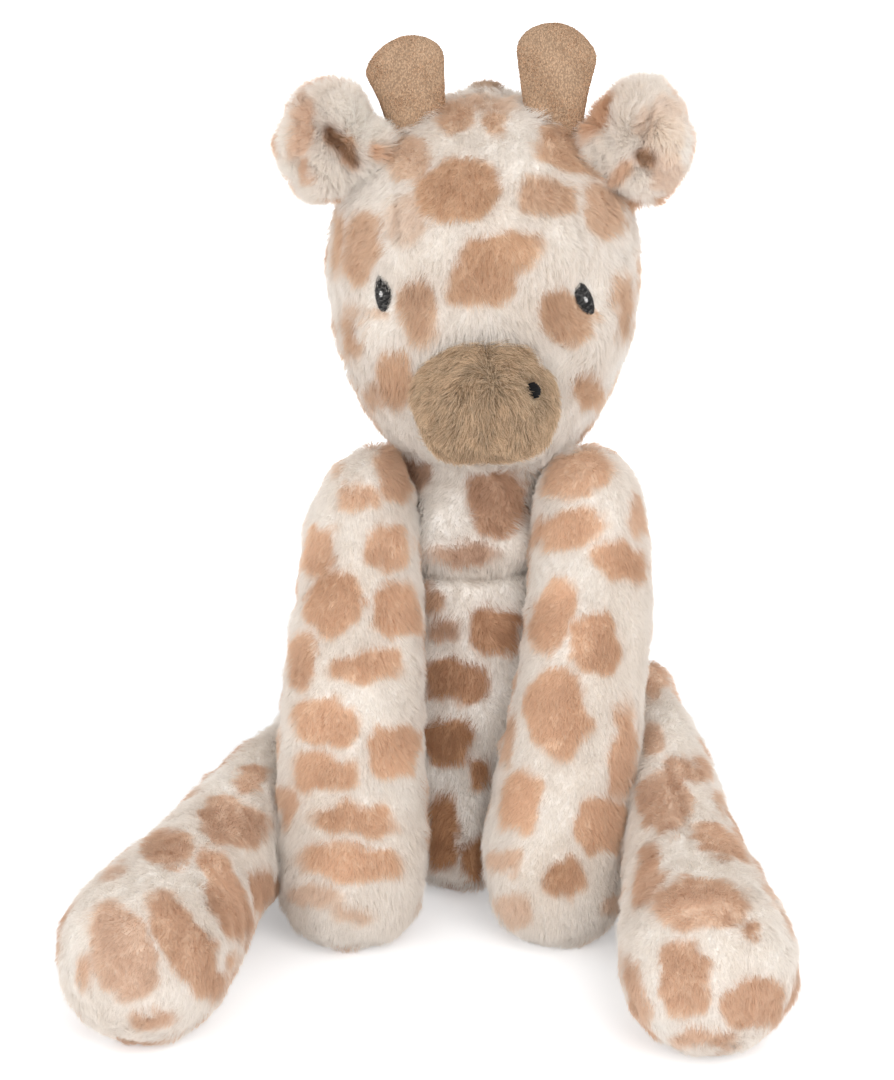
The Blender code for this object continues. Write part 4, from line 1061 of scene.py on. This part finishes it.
def build_stitching(node, tree, stitch, tilt_deg, tones, shift):
    """An oval of satin stitch: threads side by side over a low pad, each following the cloth."""
    name = node + "_stitch"
    half_width, half_height, threads, proud = stitch
    place, normal, _, _ = tree.find_nearest(Vector(box_middle(node) + shift))
    centre, out = np.array(place), unit(np.array(normal))
    up = unit(np.array([math.sin(math.radians(tilt_deg)), 0, math.cos(math.radians(tilt_deg))]))
    up = unit(up - out * (up @ out))
    across = np.cross(up, out)
    lean = math.radians(THREAD_LEAN_DEG)
    thread_way = across * math.cos(lean) + up * math.sin(lean)
    row_way = -across * math.sin(lean) + up * math.cos(lean)
    radius = half_height / threads * THREAD_OVERLAP
    rng = np.random.default_rng(len(name))
    bm = bmesh.new()
    colours = []
    steps, sides = THREAD_STEPS, THREAD_SIDES
    for row in range(threads):
        level = (row + 0.5) / threads * 2 - 1
        half = half_width * math.sqrt(max(1 - level**2, 0.0)) * rng.uniform(0.96, 1.05)
        rings = []
        for k in range(steps):
            t = k / (steps - 1) * 2 - 1
            base = centre + row_way * (level * half_height) + thread_way * (t * half)
            lift = proud * math.sqrt(max(1 - t * t * 0.9, 0)) * (1 - 0.4 * level**2)
            base = lay_on(tree, base, out) + out * lift
            size = radius * (0.55 if k in (0, steps - 1) else 1.0)
            tone = rng.random() ** 2.2
            ring = []
            for n in range(sides):
                angle = math.tau * n / sides
                aside, above = size * math.cos(angle), size * math.sin(angle)
                ring.append(bm.verts.new(base + row_way * aside + out * above))
                colours.append(np.array(tones[0]) + (np.array(tones[1]) - tones[0]) * tone)
            rings.append(ring)
        for first, second in zip(rings, rings[1:]):
            for n in range(sides):
                bm.faces.new((first[n], first[(n + 1) % sides], second[(n + 1) % sides], second[n]))
        bm.faces.new(rings[0][::-1])
        bm.faces.new(rings[-1])
    bmesh.ops.recalc_face_normals(bm, faces=bm.faces)
    mesh = mesh_from(bm, name)
    mesh.shade_smooth()
    stitching = link(bpy.data.objects.new(name, mesh))
    dress(stitching, "head", [node], np.array(colours), THREAD)


def build_face_stitching(head, muzzle):
    head_tree, muzzle_tree = surface_tree(head.data), surface_tree(muzzle.data)
    dark, black, white = (THREAD_DARK, THREAD_GREY), (THREAD_BLACK, THREAD_DARK), (THREAD_WHITE, THREAD_WHITE)
    for side, tilt, shift, rise in FACE_SIDES:
        build_stitching(side + "_eye", head_tree, EYE_STITCH, tilt, dark, shift)
        build_stitching(side + "_eye_glint", head_tree, GLINT_STITCH, tilt, white, shift)
        nostril = (*NOSTRIL_STITCH, rise)
        build_stitching(
            side + "_nostril", muzzle_tree, nostril, NOSTRIL_TILT_DEG, black, NOSTRIL_SHIFT,
        )


# Manes and tail

# Each row: skin, body, node, hairs, way that they lean, length, lean and seed.
STRIPS = [
    ("head_mane_fur", "head", "head_mane", 24000, (0, 0.5, -0.6), 0.0050, 0.72, 801),
    ("back_mane_fur", "torso", "back_mane", 18000, (0, 0.3, -1), 0.0062, 0.72, 811),
    ("tail_tuft_fur", "tail", "tail_tuft", 18000, (0, 1, -0.3), 0.0110, 0.9, 821),
]
TAIL_HAIRS = 9000
TAIL_HAIR_LENGTH = 0.0035
TAIL_SINK = 0.2


def build_strip(name, body, node, count, way, length, lean, seed):
    skin = skin_from(name, [node], voxel=0.0010, smooth=8)
    dark = np.array(MANE_DARK) * 1.6
    dress(skin, body, [node], np.tile(dark, (len(skin.data.vertices), 1)), None)
    grow_pile(
        name + "_pile", body, skin, count, steady_flow(way), mixed_colours(MANE, MANE_DARK, 0.7), seed,
        length=length, lean=lean, radius=0.00005, tuft=0.0022, pull=0.5, stray=0.25, root_shade=0.6,
    )


def build_manes_and_tail():
    for row in STRIPS:
        build_strip(*row)
    root = JOINTS["tail_wag"]
    skin = skin_from("tail_fur", ["tail"], voxel=0.0009, smooth=8)
    places, normals = mesh_arrays(skin.data)
    dress(skin, "tail", ["tail"], coat(places, normals, [], LIMB_TAN, 831))
    flow = away_from(root, TAIL_SINK)
    colours_of = coat_colours([], LIMB_TAN, 831)
    grow_pile("tail_fur_pile", "tail", skin, TAIL_HAIRS, flow, colours_of, 831, length=TAIL_HAIR_LENGTH)


# Stage

WORLD_STRENGTH = 0.80
# Each lamp: name, place, aim, size and energy.
LAMPS = [
    ("key", (0.42, -0.95, 0.85), (0, -0.02, 0.14), 0.8, 6.2),
    ("fill", (-0.75, -1.05, 0.45), (0, 0, 0.12), 0.9, 4.4),
]
FLOOR_COLOUR = (0.90, 0.905, 0.92, 1.0)
FLOOR_SIZE = 6.0
# How far from the middle the floor's glow starts and ends to grow, and its least and full strength.
GLOW_NEAR, GLOW_FAR = 0.12, 0.55
GLOW_LEAST, GLOW_FULL = 0.34, 1.0


def build_camera():
    camera = bpy.data.cameras.new("photo_camera")
    camera.lens = CAMERA_FOCAL_PIXELS * SENSOR_WIDTH_MM / PHOTO_SIZE[1]
    camera.sensor_width = SENSOR_WIDTH_MM
    camera.clip_start, camera.clip_end = 0.05, 20.0
    holder = link(bpy.data.objects.new("photo_camera", camera))
    holder.location = CAMERA_PLACE
    holder.rotation_euler = (math.radians(90 - CAMERA_DOWN_DEG), 0, 0)
    bpy.context.scene.camera = holder


def seen_rays(nodes, links):
    """One for rays from the camera and those that gloss or glass pass on, else nought."""
    rays = nodes.new("ShaderNodeLightPath")
    seen = rays.outputs["Is Camera Ray"]
    for kind in ("Is Glossy Ray", "Is Transmission Ray"):
        most = nodes.new("ShaderNodeMath")
        most.operation = "MAXIMUM"
        links.new(seen, most.inputs[0])
        links.new(rays.outputs[kind], most.inputs[1])
        seen = most.outputs[0]
    return seen


def build_world():
    world = bpy.data.worlds.new("studio")
    bpy.context.scene.world = world
    world.use_nodes = True
    nodes, links = world.node_tree.nodes, world.node_tree.links
    light = nodes["Background"]
    set_inputs(light, {"Color": (1.0, 1.0, 1.0, 1.0), "Strength": WORLD_STRENGTH})
    white = nodes.new("ShaderNodeBackground")
    set_inputs(white, {"Color": (1.0, 1.0, 1.0, 1.0)})
    mix = nodes.new("ShaderNodeMixShader")
    links.new(seen_rays(nodes, links), mix.inputs[0])
    links.new(light.outputs[0], mix.inputs[1])
    links.new(white.outputs[0], mix.inputs[2])
    links.new(mix.outputs[0], nodes["World Output"].inputs["Surface"])


def build_light(name, place, aim, size, energy):
    data = bpy.data.lights.new(name, "AREA")
    data.shape = "DISK"
    data.size = size
    data.energy = energy
    lamp = link(bpy.data.objects.new(name, data))
    lamp.location = place
    lamp.rotation_euler = (Vector(aim) - Vector(place)).to_track_quat("-Z", "Y").to_euler()


def build_floor():
    """White paper. What the camera sees of it glows, so that it is white outside the toy's shadow."""
    bm = bmesh.new()
    bmesh.ops.create_grid(bm, x_segments=2, y_segments=2, size=FLOOR_SIZE)
    floor = link(bpy.data.objects.new("floor", mesh_from(bm, "floor")))
    material, nodes, links, shader = new_material("paper_floor", 1.0, 0.0)
    shader.inputs["Base Color"].default_value = FLOOR_COLOUR
    where = nodes.new("ShaderNodeTexCoord")
    distance = nodes.new("ShaderNodeVectorMath")
    distance.operation = "LENGTH"
    links.new(where.outputs["Object"], distance.inputs[0])
    glow = nodes.new("ShaderNodeMapRange")
    glow.interpolation_type = "SMOOTHSTEP"
    set_inputs(glow, {"From Min": GLOW_NEAR, "From Max": GLOW_FAR, "To Min": GLOW_LEAST, "To Max": GLOW_FULL})
    links.new(distance.outputs["Value"], glow.inputs["Value"])
    white = nodes.new("ShaderNodeEmission")
    seen = nodes.new("ShaderNodeMath")
    seen.operation = "MULTIPLY"
    links.new(seen_rays(nodes, links), seen.inputs[0])
    links.new(glow.outputs["Result"], seen.inputs[1])
    links.new(seen.outputs[0], white.inputs["Strength"])
    both = nodes.new("ShaderNodeAddShader")
    links.new(shader.outputs[0], both.inputs[0])
    links.new(white.outputs[0], both.inputs[1])
    links.new(both.outputs[0], nodes["Material Output"].inputs["Surface"])
    floor.data.materials.append(material)


def main():
    build_camera()
    build_world()
    for lamp in LAMPS:
        build_light(*lamp)
    build_floor()
    bpy.context.scene.view_settings.view_transform = "Standard"

    right_arm = build_arm("right", RIGHT_ARM_PATCHES, RIGHT_ARM_OUTLINE, 201)
    left_arm = build_arm("left", LEFT_ARM_PATCHES, LEFT_ARM_OUTLINE, 301)
    right_press, left_press = surface_tree(right_arm.data), surface_tree(left_arm.data)
    build_torso([right_press, left_press])
    for row, press in zip(LEGS, (right_press, left_press)):
        build_leg(*row, [press])
    head = build_head()
    muzzle = build_muzzle()
    build_ear("left", 1, LEFT_EAR_PATCHES, LEFT_EAR_FORM, 611)
    build_ear("right", -1, RIGHT_EAR_PATCHES, RIGHT_EAR_FORM, 621)
    build_horn("left", 1, 631)
    build_horn("right", -1, 641)
    build_face_stitching(head, muzzle)
    build_manes_and_tail()


main()
